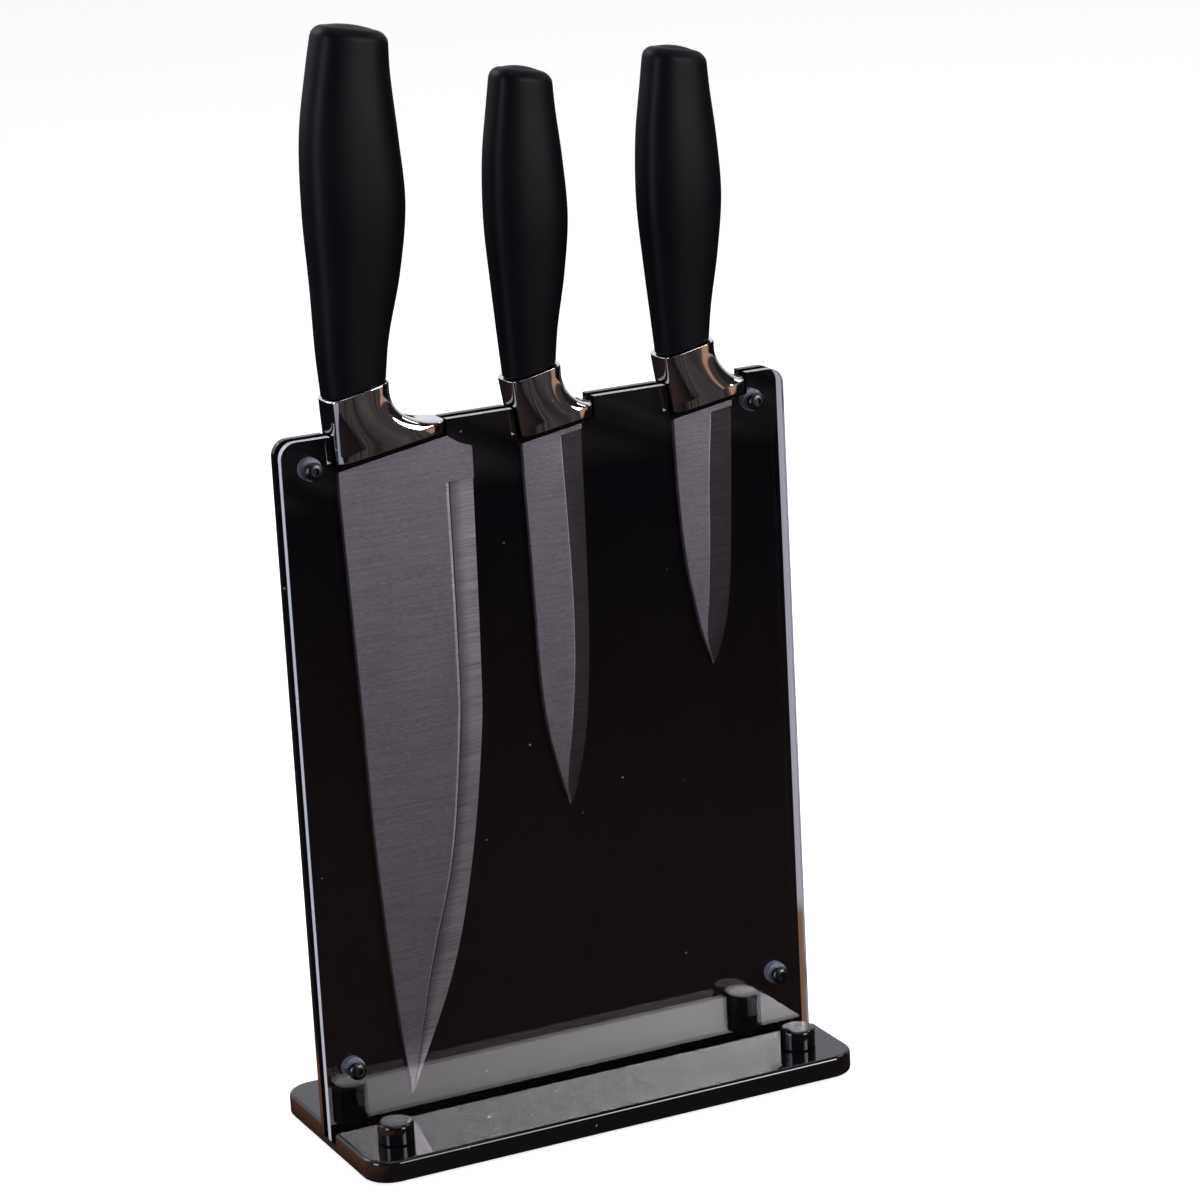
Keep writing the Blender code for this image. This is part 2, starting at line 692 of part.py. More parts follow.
def bolster(knife, parts, parent, slot):
    right = guard_points(knife, steps=8)
    count = len(right) - 1
    left_top = (knife.neck_left, knife.neck_rise)
    left_foot = (knife.foot_left, BOLSTER_FOOT_RISE)
    rings = []
    for i, (right_x, right_z) in enumerate(right):
        share = i / count
        left_x = left_top[0] + (left_foot[0] - left_top[0]) * share
        left_z = left_top[1] + (left_foot[1] - left_top[1]) * share
        half = (right_x - left_x) / 2
        slope = (right_z - left_z) / (2 * half)
        rings.append(section(left_x + half, (left_z + right_z) / 2, half, BOLSTER_DEPTH / 2, slope))
    name = f"{knife.name}_bolster"
    obj = add_part(name, loft_mesh(name, rings[::-1]), parts, parent=parent)
    boolean(obj, slot)
    return obj


def handle_rings(knife, inset, steps):
    """Sections up the handle, drawn in by an inset, with a rounded and crowned pommel."""
    middle, neck_z, neck_half = neck(knife)
    low_z = neck_z + TOUCH_GAP + inset
    top_z = neck_z + knife.handle_length - inset
    body_top = top_z - POMMEL_RADIUS - POMMEL_CROWN
    columns = list(zip(*HANDLE_PROFILE))
    lean, width, depth = (tuple(zip(columns[0], column)) for column in columns[1:])

    def ring(z, shrink):
        share = (z - neck_z) / knife.handle_length
        half_width = smooth_at(width, share) * knife.belly_width / 2 - inset - shrink
        half_depth = smooth_at(depth, share) * knife.handle_depth / 2 - inset - shrink
        slope = BOLSTER_TOP_SLOPE + (POMMEL_SLOPE - BOLSTER_TOP_SLOPE) * share
        return section(middle + smooth_at(lean, share) * knife.handle_lean, z, half_width, half_depth, slope)

    rings = [ring(low_z + (body_top - low_z) * i / steps, 0.0) for i in range(steps + 1)]
    for angle in (pi / 8, pi / 4, 3 * pi / 8, pi / 2):
        rings.append(ring(body_top + POMMEL_RADIUS * sin(angle), POMMEL_RADIUS * (1 - cos(angle))))
    rings.append(ring(top_z, neck_half * 0.62 - inset))
    return rings


def grip(knife, parts, parent):
    """Soft outer shell of the handle, open at the bolster."""
    name = f"{knife.name}_grip"
    obj = add_part(name, loft_mesh(name, handle_rings(knife, 0.0, 9), cap_start=False), parts, parent=parent)
    shell = obj.modifiers.new("shell", "SOLIDIFY")
    shell.thickness = GRIP_WALL
    shell.offset = -1.0
    return obj


def handle_core(knife, parts, parent, slot):
    """Hard core inside the grip, slotted for the tang."""
    name = f"{knife.name}_handle_core"
    mesh = loft_mesh(name, handle_rings(knife, GRIP_WALL + 2 * TOUCH_GAP, 6))
    obj = add_part(name, mesh, parts, parent=parent)
    boolean(obj, slot)
    return obj


def build_knife(knife, parts, cutters):
    """A knife hangs from an empty on its lifting axis, at its seat."""
    lift_axis = bpy.data.objects.new(f"{knife.name}_lift_axis", None)
    lift_axis.empty_display_size = SEAT_DEPTH
    lift_axis.location = (knife_x(knife), BLADE_Y, SEAT_Z)
    lift_axis["lift_range"] = PANEL_RISE - (SEAT_Z - BASE_TOP_Z - knife.blade_length) + LIFT_MARGIN
    parts.objects.link(lift_axis)
    blade(knife, parts, cutters, lift_axis)
    slot = tang_slot(knife, cutters, lift_axis)
    bolster(knife, parts, lift_axis, slot)
    handle_core(knife, parts, lift_axis, slot)
    grip(knife, parts, lift_axis)


def main():
    clear_scene()
    parts = make_collection("knife_stand")
    cutters = make_collection("cutters")
    build_stand(parts, cutters)
    for knife in KNIVES:
        build_knife(knife, parts, cutters)


main()
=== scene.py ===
"""The looks of a knife stand: an acrylic stand with three kitchen knives hanging in it, point down.

Everything is in metres, in the frame's own axes: X runs along the panels, the stand faces -Y, Z is up.
"""

import logging
from collections.abc import Callable, Iterator, Sequence
from contextlib import contextmanager
from dataclasses import dataclass
from enum import Enum
from math import atan, cos, pi, radians, sin, tau

import bmesh
import bpy
from mathutils import Matrix, Vector


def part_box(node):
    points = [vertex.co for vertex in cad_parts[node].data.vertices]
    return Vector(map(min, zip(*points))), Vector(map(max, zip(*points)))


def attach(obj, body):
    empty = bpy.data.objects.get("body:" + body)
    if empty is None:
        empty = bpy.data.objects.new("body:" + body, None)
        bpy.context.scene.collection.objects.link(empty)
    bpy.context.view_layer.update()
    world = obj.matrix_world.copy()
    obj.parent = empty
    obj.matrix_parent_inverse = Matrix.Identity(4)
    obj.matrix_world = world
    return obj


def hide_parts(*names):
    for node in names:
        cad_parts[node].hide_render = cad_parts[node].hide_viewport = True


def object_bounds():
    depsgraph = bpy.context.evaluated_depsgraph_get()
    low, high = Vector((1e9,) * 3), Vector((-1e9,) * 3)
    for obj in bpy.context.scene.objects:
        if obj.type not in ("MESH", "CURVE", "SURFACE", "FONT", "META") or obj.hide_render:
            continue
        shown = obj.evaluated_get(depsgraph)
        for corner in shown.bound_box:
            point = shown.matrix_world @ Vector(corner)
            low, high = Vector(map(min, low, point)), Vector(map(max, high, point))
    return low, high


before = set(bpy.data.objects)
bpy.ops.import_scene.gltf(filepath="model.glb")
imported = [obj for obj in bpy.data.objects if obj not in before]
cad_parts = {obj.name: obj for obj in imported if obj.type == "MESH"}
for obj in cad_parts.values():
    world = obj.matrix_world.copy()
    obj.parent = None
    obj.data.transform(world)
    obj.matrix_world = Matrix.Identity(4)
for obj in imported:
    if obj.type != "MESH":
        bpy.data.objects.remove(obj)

LOG = logging.getLogger("knife_stand")
CAD_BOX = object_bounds()

MERGE = 0.000002  # points closer than this are one
TOUCH_GAP = 0.0003  # between pieces that rest on or hold each other
OVERSHOOT = 0.01  # how far a cutter reaches past what it cuts
CORNER_BREAK = 0.0002  # chamfer that takes the sharpness off a turned corner
ROUND_STEPS = 48
SMOOTH_ANGLE = radians(32)

# ---- What the knives share ----
SEAT_DEPTH = 0.0102  # from the panels' top edge down to a knife's seat
NOTCH_SIDE_GAP = 0.0006  # beside a bolster in its notch
BOLSTER_DEPTH = 0.0146
BOLSTER_FOOT_RISE = 0.0011  # bolster's lower corner above the seat
BOLSTER_FOOT_SLOPE = 0.168
BOLSTER_TOP_SLOPE = 0.215
BOLSTER_POWER = 4.4  # squareness of its section; 2 is an ellipse
BOLSTER_EDGE = 0.0005
GUARD_TIP_HEIGHT = 0.003
GRIP_POWER = 2.65
GRIP_WALL = 0.002
GRIP_LIP = 0.0004  # rounding of the grip's lower rim
POMMEL_SLOPE = -0.19
POMMEL_RADIUS = 0.0034
POMMEL_CROWN = 0.0009
TANG_WIDTH = 0.009
EDGE_THICKNESS = 0.0003
POINT_SHARE = 0.3  # of the heel's width, below which a blade thins towards its point
LEVEL_RUN = 0.02  # down the blade, over which its slanted rows turn level
RIDGE_SHARE = 0.022  # of the flat's width, beside the bevel, painted as a highlight
STEP_SHARE = 0.055  # of the bevel's width, where it steps in
LEDGE = 0.0003  # height of the step above the bevel

# Shares of the handle's length, of its lean, of its belly width and of its depth.
HANDLE_PROFILE = (
    (0.00, 0.00, 0.63, 0.72),
    (0.12, 0.08, 0.715, 0.78),
    (0.30, 0.42, 0.88, 0.90),
    (0.50, 0.60, 1.00, 1.00),
    (0.70, 0.60, 0.94, 0.98),
    (0.88, 0.77, 0.785, 0.90),
    (1.00, 1.00, 0.695, 0.85),
)

Place = Sequence[float]
Station = tuple[float, float]


# ---------------------------------------------------------------- modelling steps
class Element(Enum):
    """The kinds of mesh element that can be picked."""

    VERT = "verts"
    EDGE = "edges"
    FACE = "faces"


class Axis(Enum):
    """The directions that a round piece can stand in, with the turn from Z."""

    Y = ((0.0, 1.0, 0.0), (-pi / 2, 0.0, 0.0))
    Z = ((0.0, 0.0, 1.0), (0.0, 0.0, 0.0))

    @property
    def along(self) -> Vector:
        """Unit vector in this direction."""
        return Vector(self.value[0])

    @property
    def turn(self) -> tuple[float, float, float]:
        """Rotation that lays +Z in this direction."""
        return self.value[1]


def deselect() -> None:
    """Leaves no object selected."""
    bpy.ops.object.select_all(action="DESELECT")


def activate(piece: bpy.types.Object) -> None:
    """Makes a piece the only one that the operators act on.

    Args:
        piece: The piece to work on.
    """
    deselect()
    bpy.context.view_layer.objects.active = piece
    piece.select_set(True)


@contextmanager
def editing(piece: bpy.types.Object) -> Iterator[None]:
    """Holds a piece in edit mode, with nothing of it selected at first.

    Args:
        piece: The piece to edit.
    """
    activate(piece)
    bpy.ops.object.mode_set(mode="EDIT")
    bpy.ops.mesh.select_mode(type="VERT")
    bpy.ops.mesh.select_all(action="DESELECT")
    yield
    bpy.ops.object.mode_set(mode="OBJECT")


def pick(piece: bpy.types.Object, kind: Element, wanted: Callable[[object], bool]) -> int:
    """Selects the elements that pass a test, and nothing else.

    Args:
        piece: The piece in edit mode.
        kind: Which elements to try.
        wanted: The test.

    Returns:
        How many were selected.
    """
    bpy.ops.mesh.select_mode(type=kind.name)
    bpy.ops.mesh.select_all(action="DESELECT")
    mesh = bmesh.from_edit_mesh(piece.data)
    mesh.verts.index_update()
    chosen = [item for item in getattr(mesh, kind.value) if wanted(item)]
    for item in chosen:
        item.select_set(True)
    mesh.select_flush_mode()
    bmesh.update_edit_mesh(piece.data)
    return len(chosen)


def edge_runs(edge: bmesh.types.BMEdge, along: int) -> bool:
    """True if an edge runs along the axis with this number."""
    span = edge.verts[1].co - edge.verts[0].co
    return abs(span[along]) > 0.99 * span.length


def edge_middle(edge: bmesh.types.BMEdge) -> Vector:
    """Middle of an edge."""
    return (edge.verts[0].co + edge.verts[1].co) / 2


def christen(name: str) -> bpy.types.Object:
    """Names the primitive that was just added, and puts its place and size into its mesh.

    Args:
        name: The piece's name.

    Returns:
        The piece.
    """
    piece = bpy.context.object
    piece.name = piece.data.name = name
    bpy.ops.object.transform_apply(location=True, rotation=True, scale=True)
    return piece


def block(name: str, low: Place, high: Place) -> bpy.types.Object:
    """Adds a box between two corners.

    Args:
        name: The piece's name.
        low: Its lowest corner.
        high: Its highest corner.

    Returns:
        The piece.
    """
    deselect()
    low, high = Vector(low), Vector(high)
    bpy.ops.mesh.primitive_cube_add(size=1, location=(low + high) / 2, scale=high - low)
    return christen(name)


def rod(
    name: str, foot: Place, axis: Axis, radius: float, length: float, sides: int = ROUND_STEPS
) -> bpy.types.Object:
    """Adds a cylinder or a prism that starts at a point.

    Args:
        name: The piece's name.
        foot: Middle of its first end.
        axis: The way it points.
        radius: From its middle to its corners.
        length: From end to end.
        sides: How many sides it has.

    Returns:
        The piece.
    """
    deselect()
    middle = Vector(foot) + axis.along * length / 2
    bpy.ops.mesh.primitive_cylinder_add(
        vertices=sides, radius=radius, depth=length, location=middle, rotation=axis.turn
    )
    return christen(name)


def turned(name: str, foot: Place, axis: Axis, profile: Sequence[Station]) -> bpy.types.Object:
    """Spins a profile about an axis, as on a lathe.

    Args:
        name: The piece's name.
        foot: The point on the axis that heights are measured from.
        axis: The axis.
        profile: (radius, height) from one end to the other.

    Returns:
        The piece.
    """
    deselect()
    foot = Vector(foot)
    sideways = Vector((1.0, 0.0, 0.0))
    spots = [sideways * radius + axis.along * height for radius, height in profile]
    bpy.ops.mesh.primitive_plane_add(size=TOUCH_GAP, location=foot)
    piece = christen(name)
    with editing(piece):
        bpy.ops.mesh.select_all(action="SELECT")
        bpy.ops.mesh.merge(type="CENTER")
        bpy.ops.transform.translate(value=spots[0])
        for last, spot in zip(spots, spots[1:]):
            bpy.ops.mesh.extrude_vertices_move(TRANSFORM_OT_translate={"value": spot - last})
        bpy.ops.mesh.select_all(action="SELECT")
        bpy.ops.mesh.spin(steps=ROUND_STEPS, angle=tau, center=foot, axis=axis.along)
    settle(piece)
    return piece


def settle(piece: bpy.types.Object, flats: bool = True) -> None:
    """Closes the seams and poles, turns the faces outwards and shades the rounds smooth.

    Args:
        piece: The piece to settle.
        flats: True if its large faces are to look flat right up to their softened edges.
    """
    with editing(piece):
        bpy.ops.mesh.select_all(action="SELECT")
        bpy.ops.mesh.remove_doubles(threshold=MERGE)
        bpy.ops.mesh.normals_make_consistent(inside=False)
    bpy.ops.object.shade_smooth_by_angle(angle=SMOOTH_ANGLE)
    if flats:
        modify(piece, "WEIGHTED_NORMAL", weight=100, keep_sharp=True)


def modify(piece: bpy.types.Object, kind: str, **settings: object) -> None:
    """Puts a modifier on a piece and applies it.

    Args:
        piece: The piece.
        kind: The modifier's type.
        **settings: Its settings.
    """
    activate(piece)
    modifier = piece.modifiers.new(kind.title(), kind)
    for key, value in settings.items():
        setattr(modifier, key, value)
    bpy.ops.object.modifier_apply(modifier=modifier.name)


def combine(
    piece: bpy.types.Object, others: Sequence[bpy.types.Object], how: str = "DIFFERENCE"
) -> None:
    """Cuts other shapes from a piece, or joins them to it, and removes them.

    Args:
        piece: The piece that stays.
        others: The cutters, or the shapes to join.
        how: The Boolean operation.
    """
    for other in others:
        modify(piece, "BOOLEAN", object=other, operation=how, solver="EXACT")
        bpy.data.objects.remove(other)


def soften(piece: bpy.types.Object, width: float, segments: int = 2, angle: float = 40.0) -> None:
    """Takes the sharpness off a piece's edges.

    Args:
        piece: The piece.
        width: How wide the softened edge is.
        segments: Its facets.
        angle: The least angle, in degrees, that counts as an edge.
    """
    modify(
        piece,
        "BEVEL",
        width=width,
        segments=segments,
        limit_method="ANGLE",
        angle_limit=radians(angle),
        use_clamp_overlap=True,
    )


def arc(centre: Station, radius: float, start: float, end: float, steps: int) -> list[Station]:
    """Points along an arc.

    Args:
        centre: Its centre.
        radius: Its radius.
        start: Its first angle, in degrees.
        end: Its last angle, in degrees.
        steps: How many spans it has.

    Returns:
        The points.
    """
    angles = [radians(start + (end - start) * i / steps) for i in range(steps + 1)]
    return [(centre[0] + radius * cos(a), centre[1] + radius * sin(a)) for a in angles]


def smooth_at(points: Sequence[Station], position: float) -> float:
    """Reads a smooth curve through points.

    Args:
        points: (position, value) in order.
        position: Where to read it.

    Returns:
        The value there.
    """
    last = len(points) - 1
    i = max(k for k in range(last) if points[k][0] <= position or k == 0)
    (x0, y0), (x1, y1) = points[i], points[i + 1]

    def slope(k: int) -> float:
        """Slope at one point, from its neighbours."""
        before, after = (k - 1, k + 1) if 0 < k < last else (min(k, last - 1), min(k, last - 1) + 1)
        return (points[after][1] - points[before][1]) / (points[after][0] - points[before][0])

    span = x1 - x0
    t = (position - x0) / span
    return (
        (2 * t**3 - 3 * t**2 + 1) * y0
        + (t**3 - 2 * t**2 + t) * span * slope(i)
        + (3 * t**2 - 2 * t**3) * y1
        + (t**3 - t**2) * span * slope(i + 1)
    )


@dataclass(frozen=True)
class Section:
    """A rounded section that may rise along X."""

    centre: Vector
    half_width: float
    half_depth: float
    slope: float

    @property
    def tilt(self) -> float:
        """Angle of the section's rise."""
        return atan(self.slope)

    @property
    def reach(self) -> float:
        """Half its length along its own rise."""
        return self.half_width / cos(self.tilt)


def grow(name: str, sections: Sequence[Section], power: float, segments: int = 14) -> bpy.types.Object:
    """Grows a closed skin from section to section.

    Args:
        name: The piece's name.
        sections: The sections in order.
        power: How square they are; 2 is an ellipse.
        segments: Facets in each quarter of a section.

    Returns:
        The piece.
    """
    first = sections[0]
    deselect()
    bpy.ops.mesh.primitive_plane_add(size=2, location=first.centre)
    piece = christen(name)
    with editing(piece):
        bpy.ops.mesh.select_all(action="SELECT")
        bpy.ops.mesh.bevel(
            offset_type="PERCENT",
            offset_pct=50,
            segments=segments,
            profile=2 ** (-2 / power),
            affect="VERTICES",
            clamp_overlap=False,
        )
        bpy.ops.mesh.select_all(action="SELECT")
        bpy.ops.mesh.remove_doubles(threshold=MERGE)
        bpy.ops.mesh.select_all(action="SELECT")
        bpy.ops.transform.resize(value=(first.reach, first.half_depth, 1), center_override=first.centre)
        bpy.ops.transform.rotate(value=first.tilt, orient_axis="Y", center_override=first.centre)
        for last, new in zip(sections, sections[1:]):
            bpy.ops.mesh.extrude_region_move(TRANSFORM_OT_translate={"value": new.centre - last.centre})
            longer, deeper = new.reach / last.reach, new.half_depth / last.half_depth
            bpy.ops.transform.resize(value=(longer, deeper, longer), center_override=new.centre)
            bpy.ops.transform.rotate(
                value=new.tilt - last.tilt, orient_axis="Y", center_override=new.centre
            )
    settle(piece, flats=False)
    return piece


# ---------------------------------------------------------------- shader nodes
Colour = tuple[float, float, float]
Input = bpy.types.NodeSocket | float | Sequence[float]  # a socket to link, or a plain value


class Nodes:
    """A node tree that is being filled."""

    def __init__(self, tree: bpy.types.NodeTree) -> None:
        """Keeps the tree."""
        self.tree = tree

    def feed(self, socket: bpy.types.NodeSocket, value: Input) -> None:
        """Links a socket, or sets it if the value is plain.

        Args:
            socket: The socket to feed.
            value: Another node's output, or a plain value.
        """
        if isinstance(value, bpy.types.NodeSocket):
            self.tree.links.new(value, socket)
        else:
            socket.default_value = value

    def fill(self, node: bpy.types.Node, inputs: dict[str | int, Input]) -> None:
        """Feeds several of a node's inputs, by name or number."""
        for key, value in inputs.items():
            self.feed(node.inputs[key], value)

    def add(
        self, kind: str, inputs: dict[str | int, Input] | None = None, **settings: object
    ) -> bpy.types.Node:
        """Adds a node.

        Args:
            kind: Its type, without the ShaderNode in front.
            inputs: What feeds its inputs, by name or number.
            **settings: Its own settings.

        Returns:
            The node.
        """
        node = self.tree.nodes.new(f"ShaderNode{kind}")
        for key, value in settings.items():
            setattr(node, key, value)
        self.fill(node, inputs or {})
        return node

    def math(self, operation: str, *values: Input, clamp: bool = False) -> bpy.types.NodeSocket:
        """Works a number out.

        Args:
            operation: The Math node's operation.
            *values: What it works on.
            clamp: True to keep the result from 0 to 1.

        Returns:
            The result.
        """
        node = self.add("Math", dict(enumerate(values)), operation=operation, use_clamp=clamp)
        return node.outputs[0]

    def times(self, first: Input, second: Input) -> bpy.types.NodeSocket:
        """Product of two numbers."""
        return self.math("MULTIPLY", first, second)

    def place(self) -> bpy.types.NodeSocket:
        """Place on the piece, in metres."""
        return self.add("TexCoord").outputs["Object"]

    def stretch(self, scale: Place = (1.0, 1.0, 1.0)) -> bpy.types.NodeSocket:
        """Place on the piece, multiplied along each axis."""
        return self.add("Mapping", {"Vector": self.place(), "Scale": scale}).outputs[0]

    def split(self, vector: Input) -> Sequence[bpy.types.NodeSocket]:
        """The X, Y and Z of a vector."""
        return self.add("SeparateXYZ", {0: vector}).outputs

    def noise(self, vector: Input, scale: Input = 1.0, detail: float = 2.0) -> bpy.types.NodeSocket:
        """Reads cloudy noise.

        Args:
            vector: Where to read it.
            scale: Its scale.
            detail: Its finer layers.

        Returns:
            The noise, from 0 to 1.
        """
        inputs = {"Vector": vector, "Scale": scale, "Detail": detail}
        return self.add("TexNoise", inputs).outputs["Fac"]

    def remap(
        self, value: Input, low: float, high: float, to_low: float = 0.0, to_high: float = 1.0
    ) -> bpy.types.NodeSocket:
        """Maps a range onto another, clamped.

        Args:
            value: What to map.
            low: Start of its range.
            high: End of its range.
            to_low: Result at the start.
            to_high: Result at the end.

        Returns:
            The result.
        """
        inputs = {"Value": value, "From Min": low, "From Max": high, "To Min": to_low, "To Max": to_high}
        return self.add("MapRange", inputs).outputs[0]

    def blend(self, share: Input, first: Input, second: Input) -> bpy.types.NodeSocket:
        """Blends two colours.

        Args:
            share: Share of the second.
            first: First colour.
            second: Second colour.

        Returns:
            The colour.
        """
        return self.add("Mix", {0: share, 6: first, 7: second}, data_type="RGBA").outputs[2]

    def bump(self, height: Input, distance: float, strength: float = 1.0) -> bpy.types.NodeSocket:
        """Turns a height into a normal.

        Args:
            height: The height, from 0 to 1.
            distance: How high 1 stands, in metres.
            strength: Share of it that shows.

        Returns:
            The normal.
        """
        inputs = {"Height": height, "Distance": distance, "Strength": strength}
        return self.add("Bump", inputs).outputs[0]

    def effect(self, effect: "Effect", **inputs: float) -> bpy.types.NodeSocket:
        """Places a shared effect.

        Args:
            effect: Which effect.
            **inputs: Its inputs, with _ for a space.

        Returns:
            The effect's mask.
        """
        node = self.add("Group", node_tree=effect.group())
        for key, value in inputs.items():
            node.inputs[key.replace("_", " ")].default_value = value
        return node.outputs["Mask"]


class Effect(Enum):
    """Surface effects that several finishes share, each a node group built once."""

    SPECKS = "Dust specks"
    HAIRLINES = "Hairline scratches"
    CLOUDS = "Cloudy smears"
    STREAKS = "Grinding streaks"

    def group(self) -> bpy.types.NodeTree:
        """Finds the effect's node group, and builds it the first time.

        Returns:
            The group.
        """
        found = bpy.data.node_groups.get(self.value)
        if found is not None:
            return found
        builders = {
            Effect.SPECKS: self._specks,
            Effect.HAIRLINES: self._hairlines,
            Effect.CLOUDS: self._clouds,
            Effect.STREAKS: self._streaks,
        }
        return builders[self]()

    def _start(self, **inputs: float) -> tuple[Nodes, bpy.types.Node, bpy.types.Node]:
        """Starts a group.

        Args:
            **inputs: Names and plain values of its inputs, with _ for a space.

        Returns:
            Its nodes, its inputs and its output.
        """
        tree = bpy.data.node_groups.new(self.value, "ShaderNodeTree")
        for key, value in inputs.items():
            socket = tree.interface.new_socket(
                name=key.replace("_", " "), in_out="INPUT", socket_type="NodeSocketFloat"
            )
            socket.default_value = value
        tree.interface.new_socket(name="Mask", in_out="OUTPUT", socket_type="NodeSocketFloat")
        source = tree.nodes.new("NodeGroupInput")
        sink = tree.nodes.new("NodeGroupOutput")
        return Nodes(tree), source, sink

    def _specks(self) -> bpy.types.NodeTree:
        """Scattered round specks: 1 on a speck, 0 between them.

        Returns:
            The group.
        """
        nodes, source, sink = self._start(Scale=300.0, Amount=0.1, Size=0.2)
        cells = nodes.add("TexVoronoi", {"Vector": nodes.place(), "Scale": source.outputs["Scale"]})
        lottery = nodes.add("SeparateColor", {0: cells.outputs["Color"]}).outputs[0]
        kept = nodes.math("LESS_THAN", lottery, source.outputs["Amount"])
        close = nodes.math("LESS_THAN", cells.outputs["Distance"], source.outputs["Size"])
        nodes.feed(sink.inputs["Mask"], nodes.times(kept, close))
        return nodes.tree

    def _hairlines(self) -> bpy.types.NodeTree:
        """Thin wandering scratches: 1 along a scratch, 0 beside it.

        Returns:
            The group.
        """
        nodes, source, sink = self._start(Scale=14.0, Width=0.004, Amount=0.4)
        place = nodes.place()
        wander = nodes.noise(place, source.outputs["Scale"], 1.0)
        off = nodes.math("ABSOLUTE", nodes.math("SUBTRACT", wander, 0.5))
        line = nodes.math("LESS_THAN", off, source.outputs["Width"])
        breaks = nodes.noise(place, 55.0, 1.0)
        there = nodes.math("LESS_THAN", breaks, source.outputs["Amount"])
        nodes.feed(sink.inputs["Mask"], nodes.times(line, there))
        return nodes.tree

    def _clouds(self) -> bpy.types.NodeTree:
        """Soft smears, as fingers and wiping leave: from 0 to 1.

        Returns:
            The group.
        """
        nodes, source, sink = self._start(Scale=40.0, Contrast=1.0)
        cloud = nodes.noise(nodes.stretch((1.0, 1.0, 0.6)), source.outputs["Scale"], 5.0)
        centred = nodes.math("SUBTRACT", cloud, 0.5)
        spread = nodes.times(centred, nodes.times(source.outputs["Contrast"], 2.5))
        nodes.feed(sink.inputs["Mask"], nodes.math("ADD", spread, 0.5, clamp=True))
        return nodes.tree

    def _streaks(self) -> bpy.types.NodeTree:
        """Lines that run along X, as a grinding belt leaves: from 0 to 1.

        Returns:
            The group.
        """
        nodes, source, sink = self._start(Along=300.0, Across=4000.0)
        x, y, z = nodes.split(nodes.place())
        long_way = nodes.times(x, source.outputs["Along"])
        cross_way = nodes.times(z, source.outputs["Across"])
        vector = nodes.add("CombineXYZ", {0: long_way, 1: y, 2: cross_way}).outputs[0]
        nodes.feed(sink.inputs["Mask"], nodes.noise(vector, 1.0, 3.0))
        return nodes.tree


# ---------------------------------------------------------------- finishes
ACROSS = "across_bevel"  # attribute that runs from 0 at a bevel's start to 1 at its edge


@dataclass(frozen=True)
class Finish:
    """What every finish has, and how its material is made."""

    name: str
    colour: Colour
    roughness: float

    def tone(self, factor: float = 1.0) -> Sequence[float]:
        """The finish's colour, made darker or lighter by a factor."""
        return (*(min(1.0, part * factor) for part in self.colour), 1.0)

    def material(self) -> bpy.types.Material:
        """Finds the finish's material, and makes it the first time.

        Returns:
            The material.
        """
        material = bpy.data.materials.get(self.name)
        if material is None:
            material = bpy.data.materials.new(self.name)
            material.use_nodes = True
            material.diffuse_color = self.tone()
            nodes, shader = Nodes(material.node_tree), material.node_tree.nodes["Principled BSDF"]
            nodes.fill(shader, {"Base Color": self.tone(), "Roughness": self.roughness})
            self.work(nodes, shader)
        return material

    def work(self, nodes: Nodes, shader: bpy.types.Node) -> None:
        """Adds what is the finish's own.

        Args:
            nodes: The material's nodes.
            shader: Its Principled shader.
        """
        raise NotImplementedError


@dataclass(frozen=True)
class Acrylic(Finish):
    """Polished opaque acrylic."""

    smear: float = 0.03
    dust: float = 0.02
    scratch: float = 0.3
    ior: float = 1.49
    wave: float = 0.00003

    def work(self, nodes: Nodes, shader: bpy.types.Node) -> None:
        """Adds faint smears, hairlines and dust, on a face that isn't quite flat.

        Args:
            nodes: The material's nodes.
            shader: Its Principled shader.
        """
        clouds = nodes.effect(Effect.CLOUDS, Scale=38.0, Contrast=1.4)
        specks = nodes.effect(Effect.SPECKS, Scale=420.0, Amount=self.dust, Size=0.16)
        hairs = nodes.effect(Effect.HAIRLINES, Scale=16.0, Width=0.0016, Amount=self.scratch)
        rough = nodes.remap(clouds, 0.0, 1.0, self.roughness, self.roughness + self.smear)
        marks = nodes.math("MAXIMUM", specks, hairs)
        wave = nodes.noise(nodes.stretch(), 9.0, 1.0)
        inputs = {
            "IOR": self.ior,
            "Roughness": nodes.math("ADD", rough, nodes.times(marks, 0.3)),
            "Base Color": nodes.blend(nodes.times(marks, 0.5), self.tone(), (0.20, 0.20, 0.21, 1.0)),
            "Normal": nodes.bump(wave, self.wave),
        }
        nodes.fill(shader, inputs)


@dataclass(frozen=True)
class ClearAcrylic(Finish):
    """Clear acrylic that lets lamps through to what it covers."""

    ior: float = 1.56

    def work(self, nodes: Nodes, shader: bpy.types.Node) -> None:
        """Adds hairlines and a thin film, and opens the sheet to the light of the lamps.

        Args:
            nodes: The material's nodes.
            shader: Its Principled shader.
        """
        marks = nodes.effect(Effect.HAIRLINES, Scale=11.0, Width=0.0007, Amount=0.32)
        clouds = nodes.effect(Effect.CLOUDS, Scale=30.0, Contrast=1.0)
        film = nodes.blend(clouds, self.tone(), (0.92, 0.92, 0.95, 1.0))
        tint = nodes.blend(nodes.times(marks, 0.5), film, (0.60, 0.60, 0.62, 1.0))
        nodes.fill(shader, {"IOR": self.ior, "Transmission Weight": 1.0, "Base Color": tint})
        open_way = nodes.add("BsdfTransparent", {0: (0.92, 0.92, 0.94, 1.0)}).outputs[0]
        shadow = nodes.add("LightPath").outputs["Is Shadow Ray"]
        mixed = nodes.add("MixShader", {0: shadow, 1: shader.outputs[0], 2: open_way}).outputs[0]
        nodes.feed(nodes.tree.nodes["Material Output"].inputs["Surface"], mixed)


